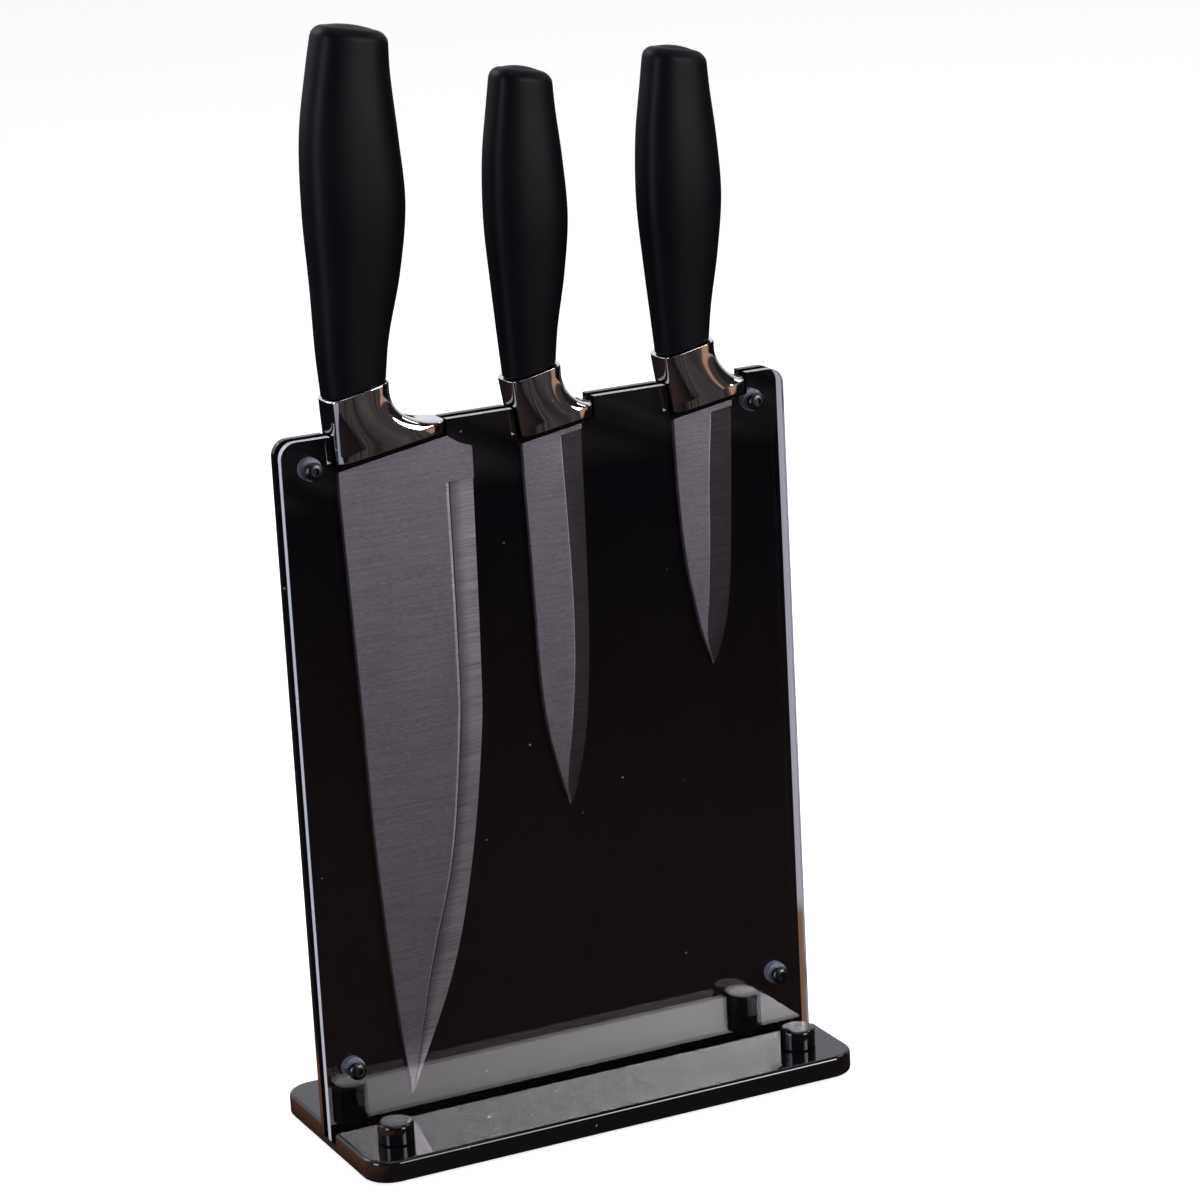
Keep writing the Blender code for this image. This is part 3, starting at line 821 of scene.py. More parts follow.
@dataclass(frozen=True)
class SawnEdge(Finish):
    """Machined and flame-polished acrylic edge; the clear sheet's pale edge is a painted highlight, for the
    light that it gathers from the sheet.
    """

    specular: float = 0.5

    def work(self, nodes: Nodes, shader: bpy.types.Node) -> None:
        """Adds the cutter's fine lines.

        Args:
            nodes: The material's nodes.
            shader: Its Principled shader.
        """
        lines = nodes.effect(Effect.STREAKS, Along=2600.0, Across=120.0)
        inputs = {
            "Specular IOR Level": self.specular,
            "Roughness": nodes.remap(lines, 0.3, 0.7, self.roughness, self.roughness + 0.15),
            "Base Color": nodes.blend(lines, self.tone(), self.tone(0.82)),
            "Normal": nodes.bump(lines, 0.00001),
        }
        nodes.fill(shader, inputs)


@dataclass(frozen=True)
class GroundSteel(Finish):
    """Belt-ground stainless steel, its lines running along X."""

    along: float = 500.0
    across: float = 5200.0
    depth: float = 0.000012
    contrast: float = 0.3
    anisotropy: float = 0.5
    hollow: bool = False  # painted shade, darker where the grinding starts, as if the hollow's wall shaded it

    def work(self, nodes: Nodes, shader: bpy.types.Node) -> None:
        """Adds fine and broad grinding lines, smoky patches and a hollow's painted shade.

        Args:
            nodes: The material's nodes.
            shader: Its Principled shader.
        """
        fine = nodes.effect(Effect.STREAKS, Along=self.along, Across=self.across)
        broad = nodes.effect(Effect.STREAKS, Along=self.along * 0.12, Across=self.across * 0.22)
        clouds = nodes.effect(Effect.CLOUDS, Scale=55.0, Contrast=1.0)
        lines = nodes.math("ADD", nodes.times(fine, 0.65), nodes.times(broad, 0.35))
        dark, light = self.tone(1 - self.contrast), self.tone(1 + self.contrast)
        tone = nodes.blend(nodes.remap(lines, 0.3, 0.7), dark, light)
        tone = nodes.blend(nodes.times(clouds, 0.16), tone, self.tone(0.7))
        if self.hollow:
            # painted shade: the bevel is darkened towards its start, where the hollow's wall would shade it
            across = nodes.add("Attribute", attribute_name=ACROSS).outputs["Fac"]
            tone = nodes.blend(nodes.remap(across, 0.03, 0.55, 0.68, 0.0), tone, self.tone(0.12))
        inputs = {
            "Metallic": 1.0,
            "Anisotropic": self.anisotropy,
            "Base Color": tone,
            "Roughness": nodes.remap(lines, 0.25, 0.75, self.roughness - 0.05, self.roughness + 0.07),
            "Normal": nodes.bump(lines, self.depth),
        }
        nodes.fill(shader, inputs)


@dataclass(frozen=True)
class Polished(Finish):
    """Bright plated or blackened metal."""

    smear: float = 0.05

    def work(self, nodes: Nodes, shader: bpy.types.Node) -> None:
        """Adds faint smears, specks and a ripple.

        Args:
            nodes: The material's nodes.
            shader: Its Principled shader.
        """
        clouds = nodes.effect(Effect.CLOUDS, Scale=120.0, Contrast=1.5)
        specks = nodes.effect(Effect.SPECKS, Scale=900.0, Amount=0.008, Size=0.12)
        rough = nodes.remap(clouds, 0.0, 1.0, self.roughness, self.roughness + self.smear)
        ripple = nodes.noise(nodes.stretch(), 160.0, 1.0)
        inputs = {
            "Metallic": 1.0,
            "Roughness": nodes.math("ADD", rough, nodes.times(specks, 0.25)),
            "Base Color": nodes.blend(clouds, self.tone(), self.tone(0.94)),
            "Normal": nodes.bump(ripple, 0.000006),
        }
        nodes.fill(shader, inputs)


@dataclass(frozen=True)
class Moulded(Finish):
    """Moulded plastic or rubber with a fine grain."""

    grain: float = 5200.0
    depth: float = 0.00001
    dust: float = 0.01
    specular: float = 0.5

    def work(self, nodes: Nodes, shader: bpy.types.Node) -> None:
        """Adds the mould's grain, worn patches and dust.

        Args:
            nodes: The material's nodes.
            shader: Its Principled shader.
        """
        grain = nodes.noise(nodes.stretch(), self.grain, 2.0)
        clouds = nodes.effect(Effect.CLOUDS, Scale=45.0, Contrast=1.2)
        specks = nodes.effect(Effect.SPECKS, Scale=700.0, Amount=self.dust, Size=0.14)
        worn = nodes.blend(clouds, self.tone(), self.tone(1.25))
        inputs = {
            "Specular IOR Level": self.specular,
            "Roughness": nodes.remap(clouds, 0.0, 1.0, self.roughness - 0.04, self.roughness + 0.05),
            "Base Color": nodes.blend(nodes.times(specks, 0.35), worn, (0.16, 0.16, 0.17, 1.0)),
            "Normal": nodes.bump(grain, self.depth),
        }
        nodes.fill(shader, inputs)


BLACK_ACRYLIC = Acrylic("cast_black_acrylic", (0.0035, 0.0034, 0.0040), 0.012, smear=0.015)
PANEL_BLACK = Acrylic(
    "black_acrylic_sheet", (0.0020, 0.0019, 0.0024), 0.015, smear=0.01, dust=0.008, scratch=0.2, ior=1.28
)
BLACK_EDGE = SawnEdge("black_sawn_edge", (0.006, 0.005, 0.005), 0.12)
# painted shade: the clear sheet's notches and bores are painted dark and dull, where shade lies beside the
# bolsters
NOTCH_SHADE_EDGE = SawnEdge("dark_notch_edge", (0.004, 0.004, 0.0045), 0.5, specular=0.0)
CLEAR_ACRYLIC = ClearAcrylic("clear_acrylic_sheet", (0.97, 0.97, 0.98), 0.0)
# painted highlight: the clear sheet's outer edges are painted pale, for the light they gather
CLEAR_EDGE_HIGHLIGHT = SawnEdge("clear_polished_edge", (0.55, 0.55, 0.58), 0.25)
POST_BLACK = Acrylic("turned_black_acrylic", (0.003, 0.003, 0.0035), 0.03, dust=0.01, scratch=0.1)
SPACER_PLASTIC = Moulded("grey_spacer_nylon", (0.10, 0.11, 0.14), 0.38, grain=2600.0)
BLACK_SCREW = Polished("black_oxide_steel", (0.06, 0.06, 0.065), 0.22, smear=0.12)
PLAIN_SCREW = Polished("zinc_plated_steel", (0.55, 0.55, 0.56), 0.30, smear=0.10)
FOOT_RUBBER = Moulded("black_foot_rubber", (0.018, 0.018, 0.018), 0.75, grain=3000.0, depth=0.00003)
BLADE_STEEL = GroundSteel("brushed_blade_steel", (0.285, 0.262, 0.285), 0.36, contrast=0.40)
# its hollow carries painted shade, darker towards the bevel's start
BEVEL_STEEL = GroundSteel(
    "hollow_ground_steel",
    (0.42, 0.39, 0.41),
    0.36,
    along=70.0,
    across=2600.0,
    depth=0.00004,
    contrast=0.5,
    hollow=True,
)
# painted shade: the flat bevel is painted far darker than the blade's face, standing in for the dark
# surroundings it mirrors
DARK_BEVEL_STEEL = GroundSteel(
    "flat_ground_steel", (0.075, 0.068, 0.070), 0.34, along=140.0, across=3200.0, depth=0.00002, contrast=0.35
)
# painted highlight: brighter steel along the ridge, where a rounded edge would catch the light
RIDGE_HIGHLIGHT_STEEL = GroundSteel("bright_ridge_steel", (0.50, 0.47, 0.49), 0.42, contrast=0.5)
# painted shade on the ledge where the bevel steps in
SHADED_STEEL = GroundSteel("shaded_step_steel", (0.05, 0.045, 0.048), 0.5, contrast=0.3)
BOLSTER_CHROME = Polished("bright_chrome", (0.78, 0.77, 0.77), 0.035, smear=0.03)
HANDLE_PLASTIC = Moulded("hard_core_plastic", (0.02, 0.02, 0.02), 0.5)
GRIP_SOFT = Moulded(
    "soft_touch_rubber",
    (0.0016, 0.0016, 0.0026),
    0.44,
    grain=9000.0,
    depth=0.000006,
    dust=0.003,
    specular=0.09,
)


def dress(piece: bpy.types.Object, *finishes: Finish) -> None:
    """Gives a piece its materials, the first for all of it.

    Args:
        piece: The piece.
        *finishes: Its finishes, in slot order.
    """
    piece.data.materials.clear()
    for finish in finishes:
        piece.data.materials.append(finish.material())


def fit(piece: bpy.types.Object, body: str, slot: str, *nodes: str) -> None:
    """Ties a piece to the body it moves with, and hides the nodes it stands for.

    Args:
        piece: The piece.
        body: The body it rides on.
        slot: Not used.
        *nodes: The nodes it stands for.
    """
    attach(piece, body)
    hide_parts(*nodes)
    LOG.info("%s: %d faces, rides on %s", piece.name, len(piece.data.polygons), body)


def keep_node(name: str, finish: Finish) -> None:
    """Dresses a node that is shown as it is.

    Args:
        name: The node's name.
        finish: Its finish.
    """
    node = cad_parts[name]
    for slot in node.material_slots:
        slot.material = finish.material()
    if not node.material_slots:
        node.data.materials.append(finish.material())
    LOG.info("%s: kept, dressed in %s", name, finish.name)


# ---------------------------------------------------------------- the stand
@dataclass
class Stand:
    """The acrylic stand: base plate, two panels, and what holds them."""

    corner_radius: float = 0.009
    edge_radius: float = 0.0012
    groove_depth: float = 0.004
    groove_room: float = 0.0036  # in front of the panels
    panel_corner: float = 0.005
    panel_edge: float = 0.00018
    rim_width: float = 0.002  # how near a panel's outline its outer edges lie
    notch_slant: float = 0.0021  # how far a notch's floor falls towards its outer face
    shallowest_floor: float = 0.003  # every notch is deeper, and farther from the sides
    shortest_floor: float = 0.015
    screw_radius: float = 0.0015
    socket_radius: float = 0.00115  # to the hexagon's corners
    head_height: float = 0.0017
    head_flat: float = 0.0011  # radius of a button head's flat top
    head_rim: float = 0.0006
    post_edge: float = 0.0011
    post_bite: float = 0.004  # how deep a post's screw goes in
    nut_flats: float = 0.0055
    nut_hexagon: float = 0.0024
    nut_dome: float = 0.0024
    foot_edge: float = 0.0004
    body: str = "stand"

    @property
    def bore(self) -> float:
        """Radius of a hole that a screw goes through."""
        return self.screw_radius + TOUCH_GAP

    def build(self) -> None:
        """Builds and dresses every piece of the stand."""
        self.base_plate()
        self.panel("back_panel", "black_acrylic", PANEL_BLACK, BLACK_EDGE, BLACK_EDGE)
        self.panel("front_panel", "clear_acrylic", CLEAR_ACRYLIC, CLEAR_EDGE_HIGHLIGHT, NOTCH_SHADE_EDGE)
        for side in ("left", "right"):
            self.post(side)
            self.post_screw(side)
            for row in ("top", "bottom"):
                place = f"{row}_{side}"
                self.spacer(place)
                self.screw(place)
                self.cap_nut(place)
            for row in ("front", "back"):
                self.foot(f"{row}_{side}")

    @staticmethod
    def centre_of(node: str) -> Vector:
        """Middle of a node's box."""
        low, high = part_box(node)
        return (low + high) / 2

    def base_plate(self) -> None:
        """Rounded slab with a groove that takes both panels."""
        low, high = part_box("base_plate")
        piece = block("stand_base", low, high)
        with editing(piece):
            pick(piece, Element.EDGE, lambda edge: edge_runs(edge, 2))
            bpy.ops.mesh.bevel(offset=self.corner_radius, segments=12, affect="EDGES")
            pick(piece, Element.EDGE, lambda edge: not edge_runs(edge, 2))
            bpy.ops.mesh.bevel(offset=self.edge_radius, segments=4, affect="EDGES")
        front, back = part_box("front_panel")[0].y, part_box("back_panel")[1].y
        groove = block(
            "groove",
            (low.x - OVERSHOOT, front - self.groove_room, high.z - self.groove_depth),
            (high.x + OVERSHOOT, back + TOUCH_GAP, high.z + OVERSHOOT),
        )
        drills = [
            rod("drill", (spot.x, spot.y, low.z - OVERSHOOT), Axis.Z, self.bore, 3 * OVERSHOOT)
            for spot in (self.centre_of("post_left"), self.centre_of("post_right"))
        ]
        combine(piece, [groove, *drills])
        soften(piece, 0.00012, angle=50.0)
        settle(piece)
        dress(piece, BLACK_ACRYLIC)
        fit(piece, self.body, "black_acrylic", "base_plate")

    def panel(self, node: str, slot: str, face: Finish, edge: Finish, notch: Finish) -> None:
        """Sheet with rounded top corners, notched for the bolsters and drilled for the screws.

        Args:
            node: The node it stands for.
            slot: Its material slot.
            face: Finish of its two faces.
            edge: Finish of its outer edges.
            notch: Finish of its notches and bores, painted shade on the clear sheet.
        """
        low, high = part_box(node)
        middle_z = self.centre_of(node).z
        piece = block(f"stand_{node}", low, high)
        with editing(piece):
            pick(piece, Element.EDGE, lambda item: edge_runs(item, 1) and edge_middle(item).z > middle_z)
            bpy.ops.mesh.bevel(offset=self.panel_corner, segments=10, affect="EDGES")
        notches = [knife.notch() for knife in KNIVES]
        drills = [
            rod(
                "drill",
                self.centre_of(f"spacer_{place}") - 2 * OVERSHOOT * Axis.Y.along,
                Axis.Y,
                self.bore,
                4 * OVERSHOOT,
            )
            for place in ("top_left", "top_right", "bottom_left", "bottom_right")
        ]
        combine(piece, notches + drills)
        outer = low.y if node == "front_panel" else high.y
        with editing(piece):
            pick(piece, Element.EDGE, lambda item: self.is_notch_floor(item, low, high, outer))
            bpy.ops.transform.translate(value=(0.0, 0.0, -self.notch_slant))
        soften(piece, self.panel_edge)
        settle(piece)
        dress(piece, face, edge, notch)
        for polygon in piece.data.polygons:
            middle = polygon.center
            rim = min(middle.x - low.x, high.x - middle.x, high.z - middle.z)
            if abs(polygon.normal.y) < 0.8:
                polygon.material_index = 1 if rim < self.rim_width else 2
        fit(piece, self.body, slot, node)

    def is_notch_floor(
        self, edge: bmesh.types.BMEdge, low: Vector, high: Vector, outer: float
    ) -> bool:
        """True if an edge of a panel is the outer edge of a notch's floor.

        Args:
            edge: The edge.
            low: The panel's lowest corner.
            high: Its highest corner.
            outer: Y of its outer face.

        Returns:
            Whether it is.
        """
        middle = edge_middle(edge)
        return (
            max(abs(vert.co.y - outer) for vert in edge.verts) < MERGE
            and high.z - 2 * SEAT_DEPTH < middle.z < high.z - self.shallowest_floor
            and low.x + self.shallowest_floor < middle.x < high.x - self.shallowest_floor
            and not edge_runs(edge, 2)
            and edge.calc_length() > self.shortest_floor
        )

    def post(self, side: str) -> None:
        """Short round post with a softened top, drilled from below.

        Args:
            side: Which post.
        """
        node = f"post_{side}"
        low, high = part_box(node)
        radius, height, edge = (high.x - low.x) / 2, high.z - low.z, self.post_edge
        middle = self.centre_of(node)
        profile = [(0.0, self.post_bite), (self.bore, self.post_bite), (self.bore, 0.0)]
        profile += [(radius - CORNER_BREAK, 0.0), (radius, CORNER_BREAK)]
        profile += arc((radius - edge, height - edge), edge, 0, 90, 6)
        profile += [(radius * 0.5, height + 0.00004), (0.0, height + 0.00006)]  # a faint crown
        piece = turned(f"stop_{node}", (middle.x, middle.y, low.z), Axis.Z, profile)
        dress(piece, POST_BLACK)
        fit(piece, self.body, "black_post", node)

    def post_screw(self, side: str) -> None:
        """Countersunk screw from under the base plate, with a hexagon socket.

        Args:
            side: Which post's screw.
        """
        node = f"post_screw_{side}"
        low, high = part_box(node)
        middle, head = self.centre_of(node), (high.x - low.x) / 2
        length, radius = high.z - low.z, self.screw_radius
        foot = Vector((middle.x, middle.y, low.z))
        profile = [(0.0, 0.0), (head - CORNER_BREAK, 0.0), (head, CORNER_BREAK)]
        profile += [(radius, head - radius + CORNER_BREAK), (radius, length - 2 * CORNER_BREAK)]
        profile += [(radius - 2 * CORNER_BREAK, length), (0.0, length)]
        piece = turned(f"countersunk_{node}", foot, Axis.Z, profile)
        combine(piece, [self.socket(foot, Axis.Z, 0.0022)])
        settle(piece)
        dress(piece, PLAIN_SCREW)
        fit(piece, self.body, "plain_screw", node)

    def socket(self, foot: Vector, axis: Axis, length: float) -> bpy.types.Object:
        """Makes the cutter for a screw's hexagon socket.

        Args:
            foot: Middle of the head's outer face.
            axis: The way the screw points.
            length: The cutter's length, of which 1 mm stands out of the head.

        Returns:
            The cutter.
        """
        return rod("socket", foot - 0.001 * axis.along, axis, self.socket_radius, length, sides=6)

    def spacer(self, place: str) -> None:
        """Plastic tube between the panels.

        Args:
            place: Which corner.
        """
        node = f"spacer_{place}"
        low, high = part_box(node)
        middle, radius = self.centre_of(node), (high.x - low.x) / 2
        piece = rod(f"tube_{node}", (middle.x, low.y, middle.z), Axis.Y, radius, high.y - low.y)
        with editing(piece):
            pick(piece, Element.FACE, lambda face: abs(face.normal.y) > 0.9)
            bpy.ops.mesh.inset(thickness=radius - self.bore)
            bpy.ops.mesh.bridge_edge_loops()
        soften(piece, 0.00025, segments=3)
        settle(piece)
        dress(piece, SPACER_PLASTIC)
        fit(piece, self.body, "spacer_plastic", node)

    def screw(self, place: str) -> None:
        """Button-head screw with a hexagon socket, its shank through both panels.

        Args:
            place: Which corner.
        """
        node = f"panel_screw_{place}"
        low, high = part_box(node)
        middle, head = self.centre_of(node), (high.x - low.x) / 2
        foot, length = Vector((middle.x, low.y, middle.z)), high.y - low.y
        thick, flat, radius = self.head_height, self.head_flat, self.screw_radius
        dome = thick - self.head_rim
        angles = [pi / 2 * i / 6 for i in range(7)]
        profile = [(0.0, 0.0), (flat, 0.0)]
        profile += [(flat + (head - flat) * sin(angle), dome * (1 - cos(angle))) for angle in angles]
        profile += [(head, thick - 0.0001), (head - 0.0001, thick), (radius, thick)]
        profile += [(radius, length - 0.0003), (radius - 0.0003, length), (0.0, length)]
        piece = turned(f"button_{node}", foot, Axis.Y, profile)
        combine(piece, [self.socket(foot, Axis.Y, 0.0019)])
        soften(piece, 0.00006, angle=50.0)
        settle(piece)
        dress(piece, BLACK_SCREW)
        fit(piece, self.body, "black_screw", node)

    def cap_nut(self, place: str) -> None:
        """Domed nut behind the back panel.

        Args:
            place: Which corner.
        """
        node = f"cap_nut_{place}"
        low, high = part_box(node)
        middle = self.centre_of(node)
        flats, hexagon, dome = self.nut_flats, self.nut_hexagon, self.nut_dome
        foot = Vector((middle.x, low.y, middle.z))
        piece = rod(f"domed_{node}", foot, Axis.Y, flats / 2 / cos(pi / 6), hexagon, sides=6)
        washer = [(0.0, 0.0), (flats / 2, 0.0), (flats / 2 + 0.0004, hexagon / 2)]
        washer += [(flats / 2, hexagon), (0.0, hexagon)]
        combine(piece, [turned("chamfer", foot, Axis.Y, washer)], "INTERSECT")
        cap = [(0.0, hexagon * 0.4), (dome, hexagon * 0.4)] + arc((0.0, hexagon), dome, 0, 90, 8)
        combine(piece, [turned("dome", foot, Axis.Y, cap)], "UNION")
        bore = rod("bore", foot - 0.001 * Axis.Y.along, Axis.Y, self.bore, hexagon + 0.0014)
        combine(piece, [bore])
        settle(piece)
        dress(piece, BLACK_SCREW)
        fit(piece, self.body, "black_screw", node)

    def foot(self, place: str) -> None:
        """Low rubber foot with a rounded rim.

        Args:
            place: Which corner.
        """
        node = f"foot_{place}"
        low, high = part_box(node)
        middle, radius, height = self.centre_of(node), (high.x - low.x) / 2, high.z - low.z
        edge = self.foot_edge
        profile = [(0.0, 0.0001), (radius * 0.5, 0.0)] + arc((radius - edge, edge), edge, -90, 0, 4)
        profile += [(radius - 0.0001, height), (0.0, height)]
        piece = turned(f"rubber_{node}", (middle.x, middle.y, low.z), Axis.Z, profile)
        dress(piece, FOOT_RUBBER)
        fit(piece, self.body, "foot_rubber", node)


# ---------------------------------------------------------------- the knives
class Grind(Enum):
    """How a blade's bevel is ground: the power of its hollow."""

    FLAT = 1.0
    HOLLOW = 1.7


@dataclass(frozen=True)
class Knife:
    """A knife, its sizes measured from its spine at the seat, with X towards its edge."""

    name: str
    blade_length: float
    blade_thickness: float
    spine: Sequence[Station]  # (distance down the blade, x)
    bevel: Sequence[Station]
    edge: Sequence[Station]
    heel: Station
    bevel_start: float
    bevel_slope: float
    shoulder_drop: bool
    neck_left: float
    neck_width: float
    neck_rise: float
    guard_reach: float
    guard_power: float
    handle_length: float
    handle_lean: float
    belly_width: float
    handle_depth: float
    tang_length: float
    grind: Grind = Grind.FLAT
    foot_left: float = -0.0015  # bolster's lower corner on the spine side
    blade_rows: int = 44
    grip_rows: int = 46

    @property
    def body(self) -> str:
        """The body that the knife is."""
        return f"{self.name}_knife"

    @property
    def origin(self) -> Vector:
        """The spine at the seat."""
        low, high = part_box(f"{self.name}_blade")
        return Vector((low.x, (low.y + high.y) / 2, low.z + self.blade_length))

    def at(self, x: float, y: float, z: float) -> Vector:
        """A point of the knife, in the frame."""
        return self.origin + Vector((x, y, z))

    def foot_height(self, x: float) -> float:
        """Height of the bolster's slanted underside."""
        return BOLSTER_FOOT_RISE + BOLSTER_FOOT_SLOPE * (x - self.foot_left)

    def build(self) -> None:
        """Builds and dresses the knife's pieces."""
        self.blade()
        self.bolster()
        self.grip()
        keep_node(f"{self.name}_handle_core", HANDLE_PLASTIC)

    def notch(self) -> bpy.types.Object:
        """Makes the cutter for the panels' opening that takes the bolster.

        Returns:
            The cutter.
        """
        rise = 2 * SEAT_DEPTH
        lean = (self.neck_left - self.foot_left) / (self.neck_rise - BOLSTER_FOOT_RISE)
        upper_left = self.foot_left + lean * (rise - BOLSTER_FOOT_RISE) - NOTCH_SIDE_GAP
        lower_left = self.foot_left - NOTCH_SIDE_GAP
        right = self.guard_reach + NOTCH_SIDE_GAP
        floor = self.foot_height(lower_left) - TOUCH_GAP
        low, high = self.at(upper_left, -OVERSHOOT, floor), self.at(right, OVERSHOOT, rise)
        cutter = block("notch", low, high)
        middle_x = (low.x + high.x) / 2
        with editing(cutter):
            pick(cutter, Element.VERT, lambda vert: vert.co.z < low.z + MERGE and vert.co.x > middle_x)
            bpy.ops.transform.translate(value=(0.0, 0.0, BOLSTER_FOOT_SLOPE * (right - lower_left)))
            pick(cutter, Element.VERT, lambda vert: vert.co.z < low.z + MERGE and vert.co.x < middle_x)
            bpy.ops.transform.translate(value=(lower_left - upper_left, 0.0, 0.0))
        return cutter

    # ---- handle ----
    def neck(self) -> tuple[float, float, float]:
        """Where bolster and handle meet.

        Returns:
            Middle x, middle z and half width.
        """
        half = self.neck_width / 2
        return self.neck_left + half, self.neck_rise + BOLSTER_TOP_SLOPE * half, half

    def handle_section(self, z: float, shrink: float) -> Section:
        """Section of the handle at one height.

        Args:
            z: The height.
            shrink: How far it is drawn in.

        Returns:
            The section.
        """
        middle, neck_z, _ = self.neck()
        share = (z - neck_z) / self.handle_length
        columns = list(zip(*HANDLE_PROFILE))
        shares = (smooth_at(tuple(zip(columns[0], column)), share) for column in columns[1:])
        lean, width, depth = shares
        slope = BOLSTER_TOP_SLOPE + (POMMEL_SLOPE - BOLSTER_TOP_SLOPE) * share
        return Section(
            self.at(middle + lean * self.handle_lean, 0.0, z),
            width * self.belly_width / 2 - shrink,
            depth * self.handle_depth / 2 - shrink,
            slope,
        )

    def grip(self) -> None:
        """Soft outer shell of the handle, rounded over at the pommel."""
        _, neck_z, _ = self.neck()
        low_z = neck_z + TOUCH_GAP
        start = low_z + GRIP_LIP
        body_top = neck_z + self.handle_length - POMMEL_RADIUS - POMMEL_CROWN
        span, rows = body_top - start, self.grip_rows
        sections = [
            self.handle_section(low_z + GRIP_LIP * (1 - cos(angle)), GRIP_LIP * (1 - sin(angle)))
            for angle in (0, pi / 6, pi / 3)
        ]
        sections += [self.handle_section(start + span * i / rows, 0.0) for i in range(rows + 1)]
        for i in range(1, 9):
            angle = pi / 2 * i / 8
            height, shrink = POMMEL_RADIUS * sin(angle), POMMEL_RADIUS * (1 - cos(angle))
            sections.append(self.handle_section(body_top + height, shrink))
        last = sections[-1]
        for left in (1 - i / 8 for i in range(1, 8)):
            centre = last.centre + Vector((0, 0, POMMEL_CROWN * (1 - left**2)))
            sections.append(Section(centre, last.half_width * left, last.half_depth * left, last.slope))
        piece = grow(f"{self.name}_soft_grip", sections, GRIP_POWER)
        with editing(piece):
            limit = self.at(0, 0, low_z + GRIP_WALL).z
            pick(
                piece,
                Element.FACE,
                lambda face: len(face.verts) > 8 and face.calc_center_median().z < limit,
            )
            bpy.ops.mesh.delete(type="FACE")
        modify(piece, "SOLIDIFY", thickness=GRIP_WALL, offset=-1.0)
        settle(piece)
        dress(piece, GRIP_SOFT)
        fit(piece, self.body, "grip_soft", f"{self.name}_grip")

    # ---- bolster ----
    def guard_points(self, steps: int) -> list[Station]:
        """The bolster's edge side, from its neck through the hollow for the finger to its blunt tip.

        Args:
            steps: Spans along the hollow.

        Returns:
            (x, z) from the top down.
        """
        right_x = self.neck_left + self.neck_width
        top_z = self.neck_rise + BOLSTER_TOP_SLOPE * self.neck_width
        tip_z = self.foot_height(self.guard_reach)
        hollow_top, hollow_foot = top_z - GUARD_TIP_HEIGHT, tip_z + GUARD_TIP_HEIGHT
        wide, tall = self.guard_reach - right_x, hollow_top - hollow_foot
        points = [(right_x, top_z)]
        for i in range(steps + 1):
            angle = pi / 2 * i / steps
            x = self.guard_reach - wide * max(cos(angle), 0.0) ** (2 / self.guard_power)
            points.append((x, hollow_top - tall * sin(angle) ** (2 / self.guard_power)))
        points.append((self.guard_reach, tip_z))
        return points

    def bolster(self) -> None:
        """Plated bolster with a finger guard, slotted for the tang."""
        right = self.guard_points(steps=26)
        lengths = [0.0]
        for (x0, z0), (x1, z1) in zip(right, right[1:]):
            lengths.append(lengths[-1] + ((x1 - x0) ** 2 + (z1 - z0) ** 2) ** 0.5)
        sections = []
        for (right_x, right_z), run in zip(right, lengths):
            share = run / lengths[-1]
            left_x = self.neck_left + (self.foot_left - self.neck_left) * share
            left_z = self.neck_rise + (BOLSTER_FOOT_RISE - self.neck_rise) * share
            half = (right_x - left_x) / 2
            slope = (right_z - left_z) / (2 * half)
            centre = self.at(left_x + half, 0.0, (left_z + right_z) / 2)
            sections.append(Section(centre, half, BOLSTER_DEPTH / 2, slope))
        piece = grow(f"{self.name}_chrome_bolster", sections[::-1], BOLSTER_POWER)
        low, high = self.at(*self.tang_low(TOUCH_GAP)), self.at(*self.tang_high(TOUCH_GAP))
        combine(piece, [block("slot", low, high)])
        soften(piece, BOLSTER_EDGE, segments=3, angle=35.0)
        settle(piece)
        dress(piece, BOLSTER_CHROME)
        fit(piece, self.body, "bolster_chrome", f"{self.name}_bolster")

    # ---- blade ----
    def tang_low(self, room: float) -> Place:
        """Lowest corner of the tang, with room round it."""
        middle, half = self.neck()[0], self.blade_thickness / 2
        return (middle - TANG_WIDTH / 2 - room, -half - room, -self.bevel_start - room)

    def tang_high(self, room: float) -> Place:
        """Highest corner of the tang, with room round it."""
        (middle, neck_z, _), half = self.neck(), self.blade_thickness / 2
        return (middle + TANG_WIDTH / 2 + room, half + room, neck_z + self.tang_length + room)

    def outline(self, down: float) -> tuple[float, float, float]:
        """X of the spine, the bevel's start and the edge, at a distance down the blade."""
        down = min(max(down, 0.0), self.blade_length)
        return tuple(smooth_at(curve, down) for curve in (self.spine, self.bevel, self.edge))

    def slant(self, down: float) -> float:
        """Slope of a row of the blade, at its distance down the blade."""
        return self.bevel_slope * max(0.0, 1 - (down - self.bevel_start) / LEVEL_RUN)

    def rows(self) -> list["BladeRow"]:
        """Rows of the blade from its point up to its upper edge.

        Returns:
            The rows.
        """
        half, edge_half = self.blade_thickness / 2, EDGE_THICKNESS / 2
        start, count = self.bevel_start, self.blade_rows
        made = []
        for i in range(count + 1):
            down = start + (self.blade_length - EDGE_THICKNESS - start) * (1 - (i / count))
            spine, ridge, edge = self.outline(down)
            ridge = min(max(ridge, spine + EDGE_THICKNESS), edge - EDGE_THICKNESS)
            spine = min(spine, ridge - EDGE_THICKNESS)
            edge = max(edge, ridge + EDGE_THICKNESS)
            fullness = min(1.0, (edge - spine) / (POINT_SHARE * self.heel[0]))
            thick = edge_half + (half - edge_half) * fullness
            made.append(BladeRow(spine, ridge, edge, -down, thick, thick - edge_half, self.slant(down)))
        return made

